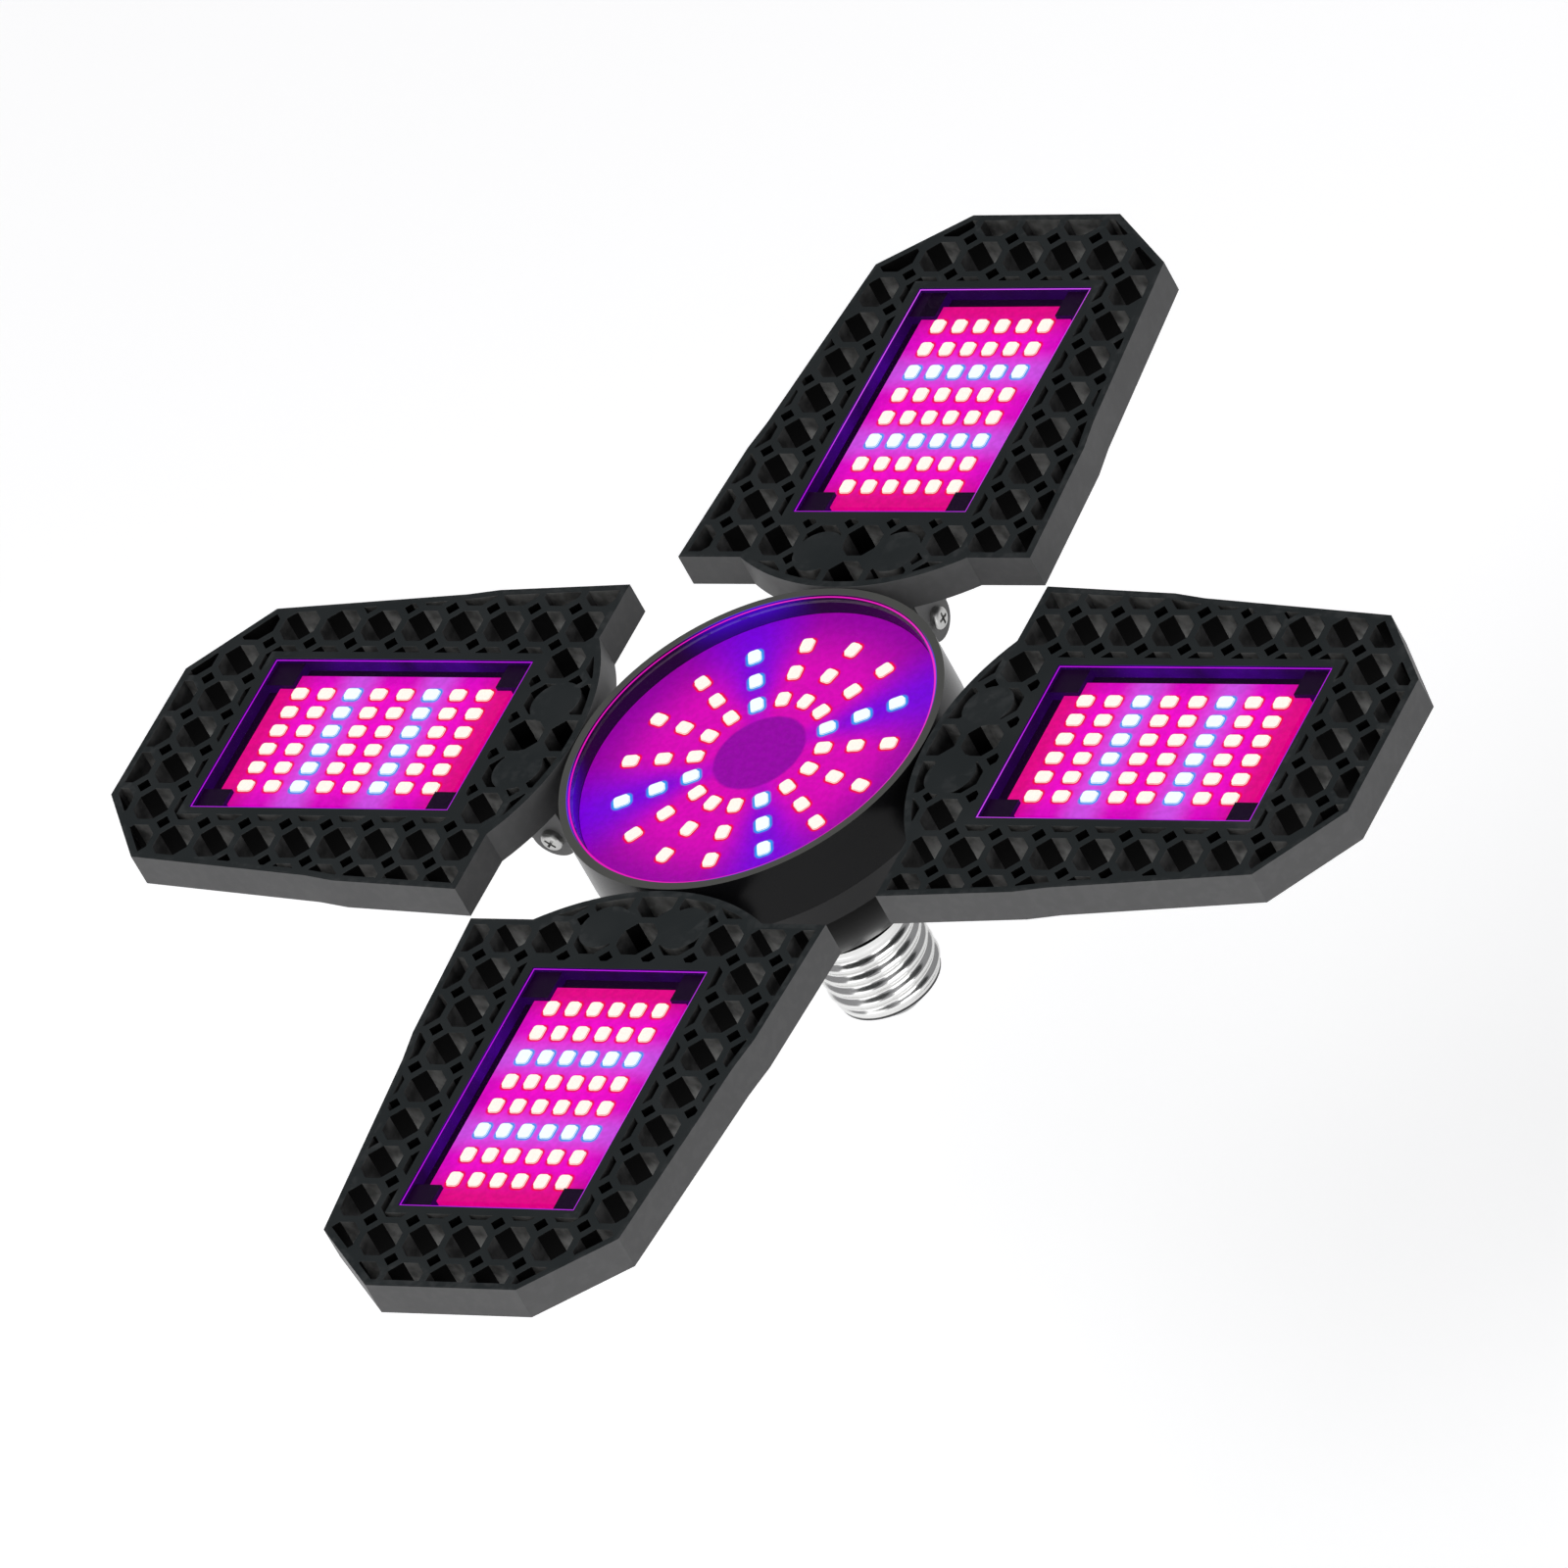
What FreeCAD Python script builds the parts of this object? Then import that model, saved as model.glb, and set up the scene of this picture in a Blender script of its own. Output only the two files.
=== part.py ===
"""Foldable grow light: a screw-in hub with a round LED dish and four lattice wings that fold back.

Millimetres. +Z points out of the lit face, the origin is the tip of the centre contact,
+X runs along the east wing and +Y along the north wing.
"""
import FreeCAD, Part
import Sketcher
import math
import os

Vector = FreeCAD.Vector
Z_AXIS = Vector(0, 0, 1)

# Driving dimensions: alias, value, meaning.
SIZES = (
    ("face_height", 82.0, "tip of the centre contact to the lit face"),
    ("shell_foot", 7.0, "tip to the lower end of the screw shell"),
    ("shell_height", 21.5, "length of the screw shell"),
    ("shell_collar", 3.0, "least plain length above the thread"),
    ("thread_root", 12.2, "radius at the thread roots"),
    ("thread_rise", 1.0, "thread root to crest"),
    ("thread_pitch", 3.6, "distance between thread crests"),
    ("shell_wall", 0.4, "sheet thickness of the screw shell"),
    ("tip_radius", 5.2, "radius of the centre contact"),
    ("tip_thick", 1.2, "height of the centre contact"),
    ("tip_collar", 0.8, "insulator beyond the contact's edge"),
    ("insulator_brim", 0.6, "height of the insulator's brim below the shell"),
    ("plug_depth", 3.0, "how far the insulator reaches into the shell"),
    ("neck_step", 1.8, "thread root to the side of the housing neck"),
    ("neck_height", 4.0, "straight part of the housing neck"),
    ("neck_plug", 8.0, "length of the housing tail inside the shell"),
    ("bowl_radius", 43.0, "outer radius of the bowl at that joint"),
    ("bowl_bulge", 46.0, "radius of the bowl's rounded side in section"),
    ("neck_wall", 2.2, "wall of the housing neck and spigot"),
    ("lip_height", 3.0, "spigot of the bowl inside the ring"),
    ("rim_flare", 2.5, "bowl joint out to the side of the ring"),
    ("rim_straight", 6.0, "straight side of the ring below the wings"),
    ("rim_width", 2.0, "width of the ring's lit rim"),
    ("ring_wall", 2.6, "wall of the hub ring below the dish"),
    ("dish_depth", 4.6, "lit face to the top of the round board"),
    ("dish_floor", 2.6, "thickness of the metal under the round board"),
    ("board_thick", 1.4, "thickness of the LED boards"),
    ("ledge_width", 0.8, "ledge that carries the round cover"),
    ("knuckle_sink", 0.3, "bore of the ring to the root of a knuckle in its wall"),
    ("cover_thick", 1.2, "thickness of the clear covers"),
    ("cover_drop", 0.3, "clear cover below the lit face"),
    ("cover_clear", 0.2, "gap between the wing chips and their cover"),
    ("fit_gap", 0.15, "clearance round boards and covers"),
    ("chip_length", 3.5, "LED chip length"),
    ("chip_width", 2.8, "LED chip width"),
    ("chip_height", 0.7, "LED chip height"),
    ("ray_inner", 16.1, "radius of the inner ring of chips"),
    ("ray_middle", 24.2, "radius of the middle ring of chips"),
    ("ray_outer", 32.5, "radius of the outer ring of chips"),
    ("ray_turn", 28.0, "angle of the first blue ray"),
    ("wing_gap", 0.4, "gap between the hub rim and a wing"),
    ("wing_thick", 8.45, "thickness of a wing"),
    ("wing_root", 9.1, "inner tip of a wing to its straight inner edge"),
    ("wing_length", 116.1, "inner tip of a wing to its outer end"),
    ("corner_cut", 15.4, "start of the corner cut to the outer end of a wing"),
    ("corner_gap", 8.6, "gap between the inner corners of neighbouring wings"),
    ("bulge_half", 29.9, "half width of the rounded inner bulge"),
    ("jog_start", 42.9, "where the side steps in"),
    ("jog_end", 51.1, "where the side step ends"),
    ("jog_half", 44.5, "half width before the side step"),
    ("waist_half", 43.1, "half width after the side step"),
    ("shoulder_half", 38.3, "half width at the corner cut"),
    ("end_half", 19.5, "half width of the outer end"),
    ("window_mid", 58.1, "inner tip of a wing to the window centre"),
    ("led_board_length", 62.6, "wing board along the wing"),
    ("led_board_width", 39.6, "wing board across the wing"),
    ("board_end_gap", 3.65, "end of the wing board to the window wall"),
    ("board_side_gap", 3.05, "side of the wing board to the window wall"),
    ("board_notch", 4.0, "square notch at each board corner"),
    ("chip_pitch_long", 7.15, "chip spacing along the wing"),
    ("chip_pitch_wide", 5.67, "chip spacing across the wing"),
    ("cell_pitch", 11.08, "spacing of the lattice cells"),
    ("cell_flats", 9.3, "width of an eight-sided cell across flats"),
    ("diamond_side", 2.7, "side of the small square cells"),
    ("diamond_depth", 5.0, "depth of the small square cells"),
    ("lattice_start", 14.3, "inner tip of a wing to the first full column of cells"),
    ("lattice_rim", 1.7, "solid rim round the lattice"),
    ("window_band", 2.2, "solid band round the window"),
    ("boss_place", 10.9, "inner tip of a wing to the two plain bosses"),
    ("boss_half", 10.2, "distance of a boss from the wing's middle line"),
    ("boss_radius", 6.1, "radius of a plain boss"),
    ("hinge_place", 6.8, "inner tip of a wing to its hinge axis"),
    ("lug_radius", 5.4, "rounded end of a hinge lug"),
    ("lug_inboard", 4.4, "hinge axis to the straight edge of a lug"),
    ("lug_half", 15.3, "outer face of a lug from the wing's middle line"),
    ("lug_thick", 2.5, "thickness of a lug"),
    ("foot_thick", 2.5, "thickness of the bracket foot"),
    ("foot_end", 18.1, "inner tip of a wing to the end of the bracket foot"),
    ("knuckle_radius", 5.0, "rounded end of the hub knuckle"),
    ("knuckle_gap", 0.2, "gap between knuckle and lug"),
    ("knuckle_under", 0.35, "top of a knuckle to the bracket foot"),
    ("knuckle_lift", 0.7, "joint of bowl and ring to the underside of a knuckle"),
    ("pivot_radius", 1.5, "shank radius of a pivot screw"),
    ("pivot_play", 0.05, "radial clearance of a lug on its screw"),
    ("pivot_length", 10.0, "shank length of a pivot screw"),
    ("pivot_head", 2.6, "head radius of a pivot screw"),
    ("pivot_head_high", 1.8, "head height of a pivot screw"),
    ("clamp_radius", 1.25, "shank radius of a bracket screw"),
    ("clamp_head", 2.3, "head radius of a bracket screw"),
    ("clamp_head_high", 1.3, "head height of a bracket screw"),
    ("clamp_bite", 5.0, "length of a bracket screw inside the wing"),
    ("bore_spare", 0.5, "depth of a bracket screw hole past its screw"),
    ("cut_past", 1.0, "how far a cut runs past what it cuts through"),
    ("join_radius", 1.5, "shank radius of a housing screw"),
    ("join_head", 2.7, "head radius of a housing screw"),
    ("join_head_high", 1.6, "head height of a housing screw"),
    ("join_boss", 4.0, "radius of a housing screw boss"),
    ("join_inset", 8.0, "edge of the bowl to the circle of housing screws"),
    ("join_bite", 6.0, "length of a housing screw inside its boss"),
    ("join_tower", 19.0, "length of a housing screw tower"),
    ("driver_shelf", 1.6, "width of that shelf"),
    ("driver_inset", 15.0, "edge of the bowl to the edge of the driver board"),
    ("driver_rise", 11.5, "top of the housing neck to the driver board"),
    ("core_length", 16.0, "transformer core across the board"),
    ("core_width", 10.0, "transformer core along the board"),
    ("core_height", 12.0, "transformer core height"),
    ("winding_length", 11.0, "transformer winding across the board"),
    ("winding_width", 14.0, "transformer winding along the board"),
    ("winding_height", 8.0, "transformer winding height"),
    ("can_radius", 4.0, "radius of a capacitor"),
    ("can_height", 12.0, "height of a capacitor"),
    ("can_place", 15.0, "middle of the driver board to the row of capacitors"),
    ("can_spread", 7.0, "middle line of the driver board to a capacitor"),
    ("rectifier_place", 15.0, "middle of the driver board to the rectifier"),
    ("rectifier_thick", 3.0, "rectifier thickness"),
    ("rectifier_wide", 12.0, "rectifier width"),
    ("rectifier_high", 9.0, "rectifier height"),
)

WINGS = (("east", 0), ("north", 90), ("west", 180), ("south", 270))
LONG_CHIPS = 8
WIDE_CHIPS = 6
BLUE_COLUMNS = (2, 5)
RAYS = 16
BLUE_EVERY = 4
JOIN_SCREWS = 3
CELL_SIDES = 8
DIAMOND_SIDES = 4
SMALLEST_CELL = 3.0


class Size:
    """A length that knows its value and the sheet formula that it comes from."""

    def __init__(self, value, formula):
        self.value = value
        self.formula = formula

    @staticmethod
    def of(other):
        return other if isinstance(other, Size) else Size(float(other), repr(float(other)))

    def __add__(self, other):
        other = Size.of(other)
        return Size(self.value + other.value, "(%s + %s)" % (self.formula, other.formula))

    def __sub__(self, other):
        other = Size.of(other)
        return Size(self.value - other.value, "(%s - %s)" % (self.formula, other.formula))

    def __mul__(self, other):
        other = Size.of(other)
        return Size(self.value * other.value, "(%s * %s)" % (self.formula, other.formula))

    def __truediv__(self, other):
        other = Size.of(other)
        return Size(self.value / other.value, "(%s / %s)" % (self.formula, other.formula))

    def __neg__(self):
        return Size(-self.value, "(0 - %s)" % self.formula)

    def root(self):
        return Size(math.sqrt(self.value), "sqrt(%s)" % self.formula)


def make_sheet(doc):
    """Write the driving dimensions and return them as a dictionary of sizes."""
    sheet = doc.addObject("Spreadsheet::Sheet", "Sizes")
    for row, (alias, value, meaning) in enumerate(SIZES, start=1):
        sheet.set("A%d" % row, alias)
        sheet.set("B%d" % row, str(value))
        sheet.setAlias("B%d" % row, alias)
        sheet.set("C%d" % row, meaning)
    doc.recompute()
    return {alias: Size(float(sheet.get(alias)), "Sizes." + alias) for alias, _, _ in SIZES}


doc = FreeCAD.newDocument("grow_light")
S = make_sheet(doc)
ZERO = Size(0.0, "0.0")


def turned(angle):
    """Placement of a wing's pieces, turned about the lamp's own axis."""
    return FreeCAD.Placement(Vector(), FreeCAD.Rotation(Z_AXIS, angle))


def new_body(label, angle=0):
    body = doc.addObject("PartDesign::Body", label)
    body.Placement = turned(angle)
    return body


def new_sketch(body, role, height=None):
    """Sketch on one of the body's origin planes, lifted off it by a bound height."""
    sketch = body.newObject("Sketcher::SketchObject", body.Label + "_outline")
    plane = [item for item in body.Origin.OriginFeatures if item.Role == role][0]
    sketch.AttachmentSupport = [(plane, "")]
    sketch.MapMode = "FlatFace"
    if height is not None:
        sketch.setExpression("AttachmentOffset.Base.z", height.formula)
    return sketch


def bind(sketch, kind, place, size):
    """Add one constraint and bind it to its size."""
    index = sketch.addConstraint(Sketcher.Constraint(kind, *place, size.value))
    sketch.setExpression("Constraints[%d]" % index, size.formula)


def arc_between(start, end, radius, turn):
    """Arc from start to end, turning left for turn 1 and right for turn -1; always drawn leftwards."""
    chord = end - start
    height = math.sqrt(radius * radius - chord.Length * chord.Length / 4)
    across = Vector(-chord.y, chord.x, 0).normalize()
    centre = start + chord * 0.5 + across * (height * turn)
    first, last = (start, end) if turn > 0 else (end, start)
    angles = [math.atan2(point.y - centre.y, point.x - centre.x) for point in (first, last)]
    return Part.ArcOfCircle(Part.Circle(centre, Z_AXIS, radius), angles[0], angles[1])


def draw_outline(sketch, corners, arcs=None):
    """Closed outline through the corners; arcs maps an edge's number to (radius, turn)."""
    arcs = arcs or {}
    corners = [(Size.of(x), Size.of(y)) for x, y in corners]
    first = sketch.GeometryCount
    count = len(corners)
    shapes = []
    for number, (x, y) in enumerate(corners):
        start = Vector(x.value, y.value, 0)
        after = corners[(number + 1) % count]
        end = Vector(after[0].value, after[1].value, 0)
        if number in arcs:
            radius, turn = arcs[number]
            shapes.append(arc_between(start, end, radius.value, turn))
        else:
            shapes.append(Part.LineSegment(start, end))
    sketch.addGeometry(shapes, False)

    def start_point(number):
        return 2 if number in arcs and arcs[number][1] < 0 else 1

    for number, (x, y) in enumerate(corners):
        after = (number + 1) % count
        here = start_point(number)
        sketch.addConstraint(Sketcher.Constraint(
            "Coincident", first + number, 3 - here, first + after, start_point(after)))
        bind(sketch, "DistanceX", (-1, 1, first + number, here), x)
        bind(sketch, "DistanceY", (-1, 1, first + number, here), y)
        if number in arcs:
            bind(sketch, "Radius", (first + number,), arcs[number][0])


def draw_circle(sketch, x, y, radius):
    index = sketch.addGeometry(Part.Circle(Vector(x.value, y.value, 0), Z_AXIS, radius.value), False)
    bind(sketch, "DistanceX", (-1, 1, index, 3), x)
    bind(sketch, "DistanceY", (-1, 1, index, 3), y)
    bind(sketch, "Radius", (index,), radius)


def pad(body, sketch, length, midplane=False, down=False):
    feature = body.newObject("PartDesign::Pad", body.Label + "_pad")
    feature.Profile = sketch
    feature.Length = length.value
    feature.setExpression("Length", length.formula)
    feature.Midplane = midplane
    feature.Reversed = down
    return feature


def pocket(body, sketch, depth, midplane=False, upward=False):
    """Cut a pocket below its sketch, or above it with upward, and check that it cuts."""
    doc.recompute()
    before = body.Shape.Volume
    feature = body.newObject("PartDesign::Pocket", body.Label + "_pocket")
    feature.Profile = sketch
    feature.Length = depth.value
    feature.setExpression("Length", depth.formula)
    feature.Midplane = midplane
    feature.Reversed = upward
    doc.recompute()
    if body.Shape.Volume >= before:
        raise RuntimeError(body.Label + ": a pocket cut nothing")
    return feature


def revolve(label, corners, arcs=None):
    """Body turned about the lamp's axis from a section of (radius, height) corners."""
    body = new_body(label)
    section = new_sketch(body, "XZ_Plane")
    draw_outline(section, corners, arcs)
    feature = body.newObject("PartDesign::Revolution", label + "_turn")
    feature.Profile = section
    feature.ReferenceAxis = (section, ["V_Axis"])
    feature.Angle = 360
    return body


def solid_group(label, solids, angle=0):
    """Several like solids kept as one piece group."""
    group = doc.addObject("Part::Feature", label)
    group.Shape = Part.makeCompound(solids)
    group.Placement = turned(angle)
    return group


def around(count, radius, first=0.0):
    """Evenly spaced points on a circle, as (x, y) pairs."""
    return [(radius * math.cos(math.radians(first + 360.0 * step / count)),
             radius * math.sin(math.radians(first + 360.0 * step / count))) for step in range(count)]


def screw(head_radius, head_high, shank_radius, shank_length, seat, direction):
    """Round-headed screw with its head's underside at the seat and its shank along the direction."""
    head = Part.makeCylinder(head_radius, head_high, seat - direction * head_high, direction)
    shank = Part.makeCylinder(shank_radius, shank_length, seat, direction)
    return head.fuse(shank).removeSplitter()


# Sizes that follow the driving ones and that several pieces share.
face = S["face_height"]
shell_top = S["shell_foot"] + S["shell_height"]
neck_top = shell_top + S["neck_height"]
thread_crest = S["thread_root"] + S["thread_rise"]
neck_radius = S["thread_root"] + S["neck_step"]
hinge_drop = S["wing_thick"] + S["foot_thick"] + S["knuckle_under"] + S["knuckle_radius"]
bowl_top = face - hinge_drop - S["knuckle_radius"] - S["knuckle_lift"]
rim_radius = S["bowl_radius"] + S["rim_flare"]
join_circle = S["bowl_radius"] - S["join_inset"]
driver_radius = S["bowl_radius"] - S["driver_inset"]
driver_height = neck_top + S["driver_rise"]
spigot_radius = S["thread_root"] - S["shell_wall"]
spigot_bore = spigot_radius - S["neck_wall"]
board_top = face - S["dish_depth"]
floor_top = board_top - S["board_thick"]
floor_low = floor_top - S["dish_floor"]
rim_inner = rim_radius - S["rim_width"]
ledge_inner = rim_inner - S["ledge_width"]
ledge_height = face - S["cover_drop"] - S["cover_thick"]
ring_bore = S["bowl_radius"] - S["ring_wall"]
lip_radius = ring_bore - S["fit_gap"]
lip_bore = lip_radius - S["neck_wall"]
lip_top = bowl_top + S["lip_height"]
join_seat = floor_top - S["join_head_high"] - S["fit_gap"]
wing_start = rim_radius + S["wing_gap"]
wing_root = wing_start + S["wing_root"]
wing_end = wing_start + S["wing_length"]
window_mid = wing_start + S["window_mid"]
window_length = S["led_board_length"] + S["board_end_gap"] * 2
window_width = S["led_board_width"] + S["board_side_gap"] * 2
window_depth = S["cover_drop"] + S["cover_thick"] + S["cover_clear"] + S["chip_height"]
root_half = wing_root - S["corner_gap"]
chamfer_start = wing_end - S["corner_cut"]
hinge_place = wing_start + S["hinge_place"]
hinge_height = face - hinge_drop
wing_low = face - S["wing_thick"]
foot_low = wing_low - S["foot_thick"]
wing_board_top = face - window_depth
wing_floor = wing_board_top - S["board_thick"]
lug_inner = S["lug_half"] - S["lug_thick"]
knuckle_half = lug_inner - S["knuckle_gap"]
bulge_radius = (S["bulge_half"] * S["bulge_half"] + S["wing_root"] * S["wing_root"]) / (S["wing_root"] * 2)


def screw_base():
    """Screw shell with rolled thread, its insulator and the centre contact."""
    crest, root = thread_crest, S["thread_root"]
    corners = [(spigot_radius, S["shell_foot"]), (root, S["shell_foot"])]
    threads = int(((S["shell_height"] - S["shell_collar"]) / S["thread_pitch"]).value)
    for turn in range(threads):
        middle = S["shell_foot"] + S["thread_pitch"] * (turn + 0.5)
        corners.append((crest, middle))
        corners.append((root, middle + S["thread_pitch"] / 2))
    corners += [(root, shell_top), (spigot_radius, shell_top)]
    revolve("screw_shell", corners)
    plug_top = S["shell_foot"] + S["plug_depth"]
    revolve("shell_insulator", [
        (0, S["tip_thick"]), (S["tip_radius"] + S["tip_collar"], S["tip_thick"]),
        (root, S["shell_foot"] - S["insulator_brim"]), (root, S["shell_foot"]),
        (spigot_radius, S["shell_foot"]), (spigot_radius, plug_top), (0, plug_top)])
    revolve("centre_contact", [
        (0, 0), (S["tip_radius"] * 0.6, 0), (S["tip_radius"], S["tip_thick"] / 2),
        (S["tip_radius"], S["tip_thick"]), (0, S["tip_thick"])])


def driver_housing():
    """Bowl that closes the back of the hub, with the spigot that carries the screw shell."""
    tail = shell_top - S["neck_plug"]
    shelf = driver_radius + S["fit_gap"]
    body = revolve("driver_housing", [
        (spigot_bore, tail), (spigot_radius, tail), (spigot_radius, shell_top), (neck_radius, shell_top),
        (neck_radius, neck_top), (S["bowl_radius"], bowl_top), (lip_radius, bowl_top),
        (lip_radius, lip_top), (lip_bore, lip_top), (lip_bore, bowl_top), (shelf, driver_height),
        (shelf - S["driver_shelf"], driver_height), (spigot_bore, neck_top)],
        {4: (S["bowl_bulge"], 1), 9: (S["bowl_bulge"], -1)})
    for place in join_places():
        tower = new_sketch(body, "XY_Plane", floor_low)
        draw_circle(tower, *place, S["join_boss"])
        pad(body, tower, S["join_tower"], down=True)
    for place in join_places():
        hole = new_sketch(body, "XY_Plane", floor_low)
        draw_circle(hole, *place, S["join_radius"])
        pocket(body, hole, S["join_bite"] + S["cut_past"])


def join_places():
    """Centres of the housing screws, between the hinges."""
    unit = around(JOIN_SCREWS, 1.0, 45.0)
    return [(join_circle * x, join_circle * y) for x, y in unit]


def hub_ring():
    """Cast ring: the lit rim, the dish that the round board lies in and four hinge knuckles."""
    body = revolve("hub_ring", [
        (0, floor_low), (ring_bore, floor_low), (ring_bore, bowl_top),
        (S["bowl_radius"], bowl_top), (rim_radius, wing_low - S["rim_straight"]), (rim_radius, face),
        (rim_inner, face), (rim_inner, ledge_height), (ledge_inner, ledge_height),
        (ledge_inner, floor_top), (0, floor_top)])
    for place in join_places():
        bore = new_sketch(body, "XY_Plane", floor_top)
        draw_circle(bore, *place, S["join_radius"] + S["fit_gap"])
        pocket(body, bore, S["dish_floor"] + S["cut_past"])
        sink = new_sketch(body, "XY_Plane", floor_top)
        draw_circle(sink, *place, S["join_head"] + S["fit_gap"])
        pocket(body, sink, floor_top - join_seat)
    radius = S["knuckle_radius"]
    root = ring_bore + S["knuckle_sink"]
    knuckle = new_sketch(body, "XZ_Plane")
    draw_outline(knuckle, [
        (root, hinge_height - radius), (hinge_place, hinge_height - radius),
        (hinge_place + radius, hinge_height), (hinge_place, hinge_height + radius),
        (root, hinge_height + radius)], {1: (radius, 1), 2: (radius, 1)})
    block = pad(body, knuckle, knuckle_half * 2, midplane=True)
    bore = new_sketch(body, "XZ_Plane")
    draw_circle(bore, hinge_place, hinge_height, S["pivot_radius"])
    hole = pocket(body, bore, S["lug_half"] * 4, midplane=True)
    pattern = body.newObject("PartDesign::PolarPattern", "hub_ring_knuckles")
    pattern.Originals = [block, hole]
    axis = [item for item in body.Origin.OriginFeatures if item.Role == "Z_Axis"][0]
    pattern.Axis = (axis, [""])
    pattern.Angle = 360
    pattern.Occurrences = len(WINGS)
    body.Tip = pattern


def housing_screws():
    """Screws from the dish into the housing's towers, under the round board."""
    length = (join_seat - floor_low + S["join_bite"]).value
    solid_group("housing_screws", [
        screw(S["join_head"].value, S["join_head_high"].value, S["join_radius"].value, length,
              Vector(x.value, y.value, join_seat.value), Vector(0, 0, -1)) for x, y in join_places()])


def chip_box(x, y, z):
    """One LED chip standing on a board, long side along x."""
    length, width = S["chip_length"].value, S["chip_width"].value
    return Part.makeBox(length, width, S["chip_height"].value, Vector(x - length / 2, y - width / 2, z))


def centre_lights():
    """Round LED board with radial chips under its clear cover."""
    board = new_body("centre_board")
    disc = new_sketch(board, "XY_Plane", floor_top)
    draw_circle(disc, ZERO, ZERO, ledge_inner - S["fit_gap"])
    pad(board, disc, S["board_thick"])
    cover = new_body("centre_cover")
    pane = new_sketch(cover, "XY_Plane", ledge_height)
    draw_circle(pane, ZERO, ZERO, rim_inner - S["fit_gap"])
    pad(cover, pane, S["cover_thick"])
    chips = {"red": [], "blue": []}
    for ray in range(RAYS):
        colour = "blue" if ray % BLUE_EVERY == 0 else "red"
        for radius in (S["ray_inner"], S["ray_middle"], S["ray_outer"]):
            chip = chip_box(radius.value, 0.0, board_top.value)
            chip.rotate(Vector(), Z_AXIS, S["ray_turn"].value + 360.0 * ray / RAYS)
            chips[colour].append(chip)
    for colour, solids in chips.items():
        solid_group("centre_%s_leds" % colour, solids)


def driver():
    """Mains driver on the housing's shelf: board, transformer, capacitors and rectifier."""
    board = new_body("driver_board")
    plate = new_sketch(board, "XY_Plane", driver_height)
    draw_circle(plate, ZERO, ZERO, driver_radius)
    pad(board, plate, S["board_thick"])
    top = (driver_height + S["board_thick"]).value
    core = standing_box("core_width", "core_length", "core_height", 0.0, top)
    rise = (S["core_height"] - S["winding_height"]).value / 2
    winding = standing_box("winding_width", "winding_length", "winding_height", 0.0, top + rise)
    solid_group("transformer", [core.fuse(winding).removeSplitter()])
    spread, can = S["can_spread"].value, S["can_place"].value
    solid_group("capacitors", [
        Part.makeCylinder(S["can_radius"].value, S["can_height"].value, Vector(can, y, top))
        for y in (-spread, spread)])
    middle = -(S["rectifier_place"] - S["rectifier_thick"] / 2).value
    block = standing_box("rectifier_thick", "rectifier_wide", "rectifier_high", middle, top)
    solid_group("rectifier", [block])


def standing_box(long_name, wide_name, high_name, x, z):
    """Box of three named sizes whose foot is centred at (x, 0, z)."""
    long, wide, high = S[long_name].value, S[wide_name].value, S[high_name].value
    return Part.makeBox(long, wide, high, Vector(x - long / 2, -wide / 2, z))


def wing_corners():
    """Wing outline, leftwards from the near end of the inner bulge; the last edge is the bulge."""
    lower = [(wing_root, S["bulge_half"]), (wing_root, root_half),
             (wing_start + S["jog_start"], S["jog_half"]), (wing_start + S["jog_end"], S["waist_half"]),
             (chamfer_start, S["shoulder_half"]), (wing_end, S["end_half"])]
    return [(x, -y) for x, y in lower] + lower[::-1]


def window_corners():
    """Window floor: a rectangle less the posts that stand in the board's notches."""
    half_long, half_wide = window_length / 2, window_width / 2
    post_long = S["led_board_length"] / 2 - S["board_notch"] + S["fit_gap"]
    post_wide = S["led_board_width"] / 2 - S["board_notch"] + S["fit_gap"]
    return notched(half_long, half_wide, post_long, post_wide)


def notched(half_long, half_wide, inner_long, inner_wide):
    """Rectangle round the window centre with a square notch at each corner."""
    mid = window_mid
    return [(mid - half_long, -inner_wide), (mid - inner_long, -inner_wide), (mid - inner_long, -half_wide),
            (mid + inner_long, -half_wide), (mid + inner_long, -inner_wide), (mid + half_long, -inner_wide),
            (mid + half_long, inner_wide), (mid + inner_long, inner_wide), (mid + inner_long, half_wide),
            (mid - inner_long, half_wide), (mid - inner_long, inner_wide), (mid - half_long, inner_wide)]


def rectangle(half_long, half_wide):
    mid = window_mid
    return [(mid - half_long, -half_wide), (mid + half_long, -half_wide),
            (mid + half_long, half_wide), (mid - half_long, half_wide)]


def clamp_places():
    """Centres of the two bracket screws, under the plain bosses."""
    return [(wing_start + S["boss_place"], S["boss_half"] * side) for side in (-1, 1)]


def wing_frame(wing, angle):
    """Lattice casting of one wing: a slab with its window, less the cells."""
    slab = new_body(wing + "_slab", angle)
    outline = new_sketch(slab, "XY_Plane", face)
    draw_outline(outline, wing_corners(), {11: (bulge_radius, 1)})
    pad(slab, outline, S["wing_thick"], down=True)
    seat = new_sketch(slab, "XY_Plane", face)
    draw_outline(seat, rectangle(window_length / 2, window_width / 2))
    pocket(slab, seat, face - ledge_height)
    well = new_sketch(slab, "XY_Plane", face)
    draw_outline(well, window_corners())
    pocket(slab, well, face - wing_floor)
    for x, y in clamp_places():
        hole = new_sketch(slab, "XY_Plane", wing_low)
        draw_circle(hole, x, y, S["clamp_radius"])
        pocket(slab, hole, S["clamp_bite"] + S["bore_spare"], upward=True)
    cells = solid_group(wing + "_cells", lattice_cells(), angle)
    frame = doc.addObject("Part::Cut", wing + "_frame")
    frame.Base = slab
    frame.Tool = cells


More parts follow.
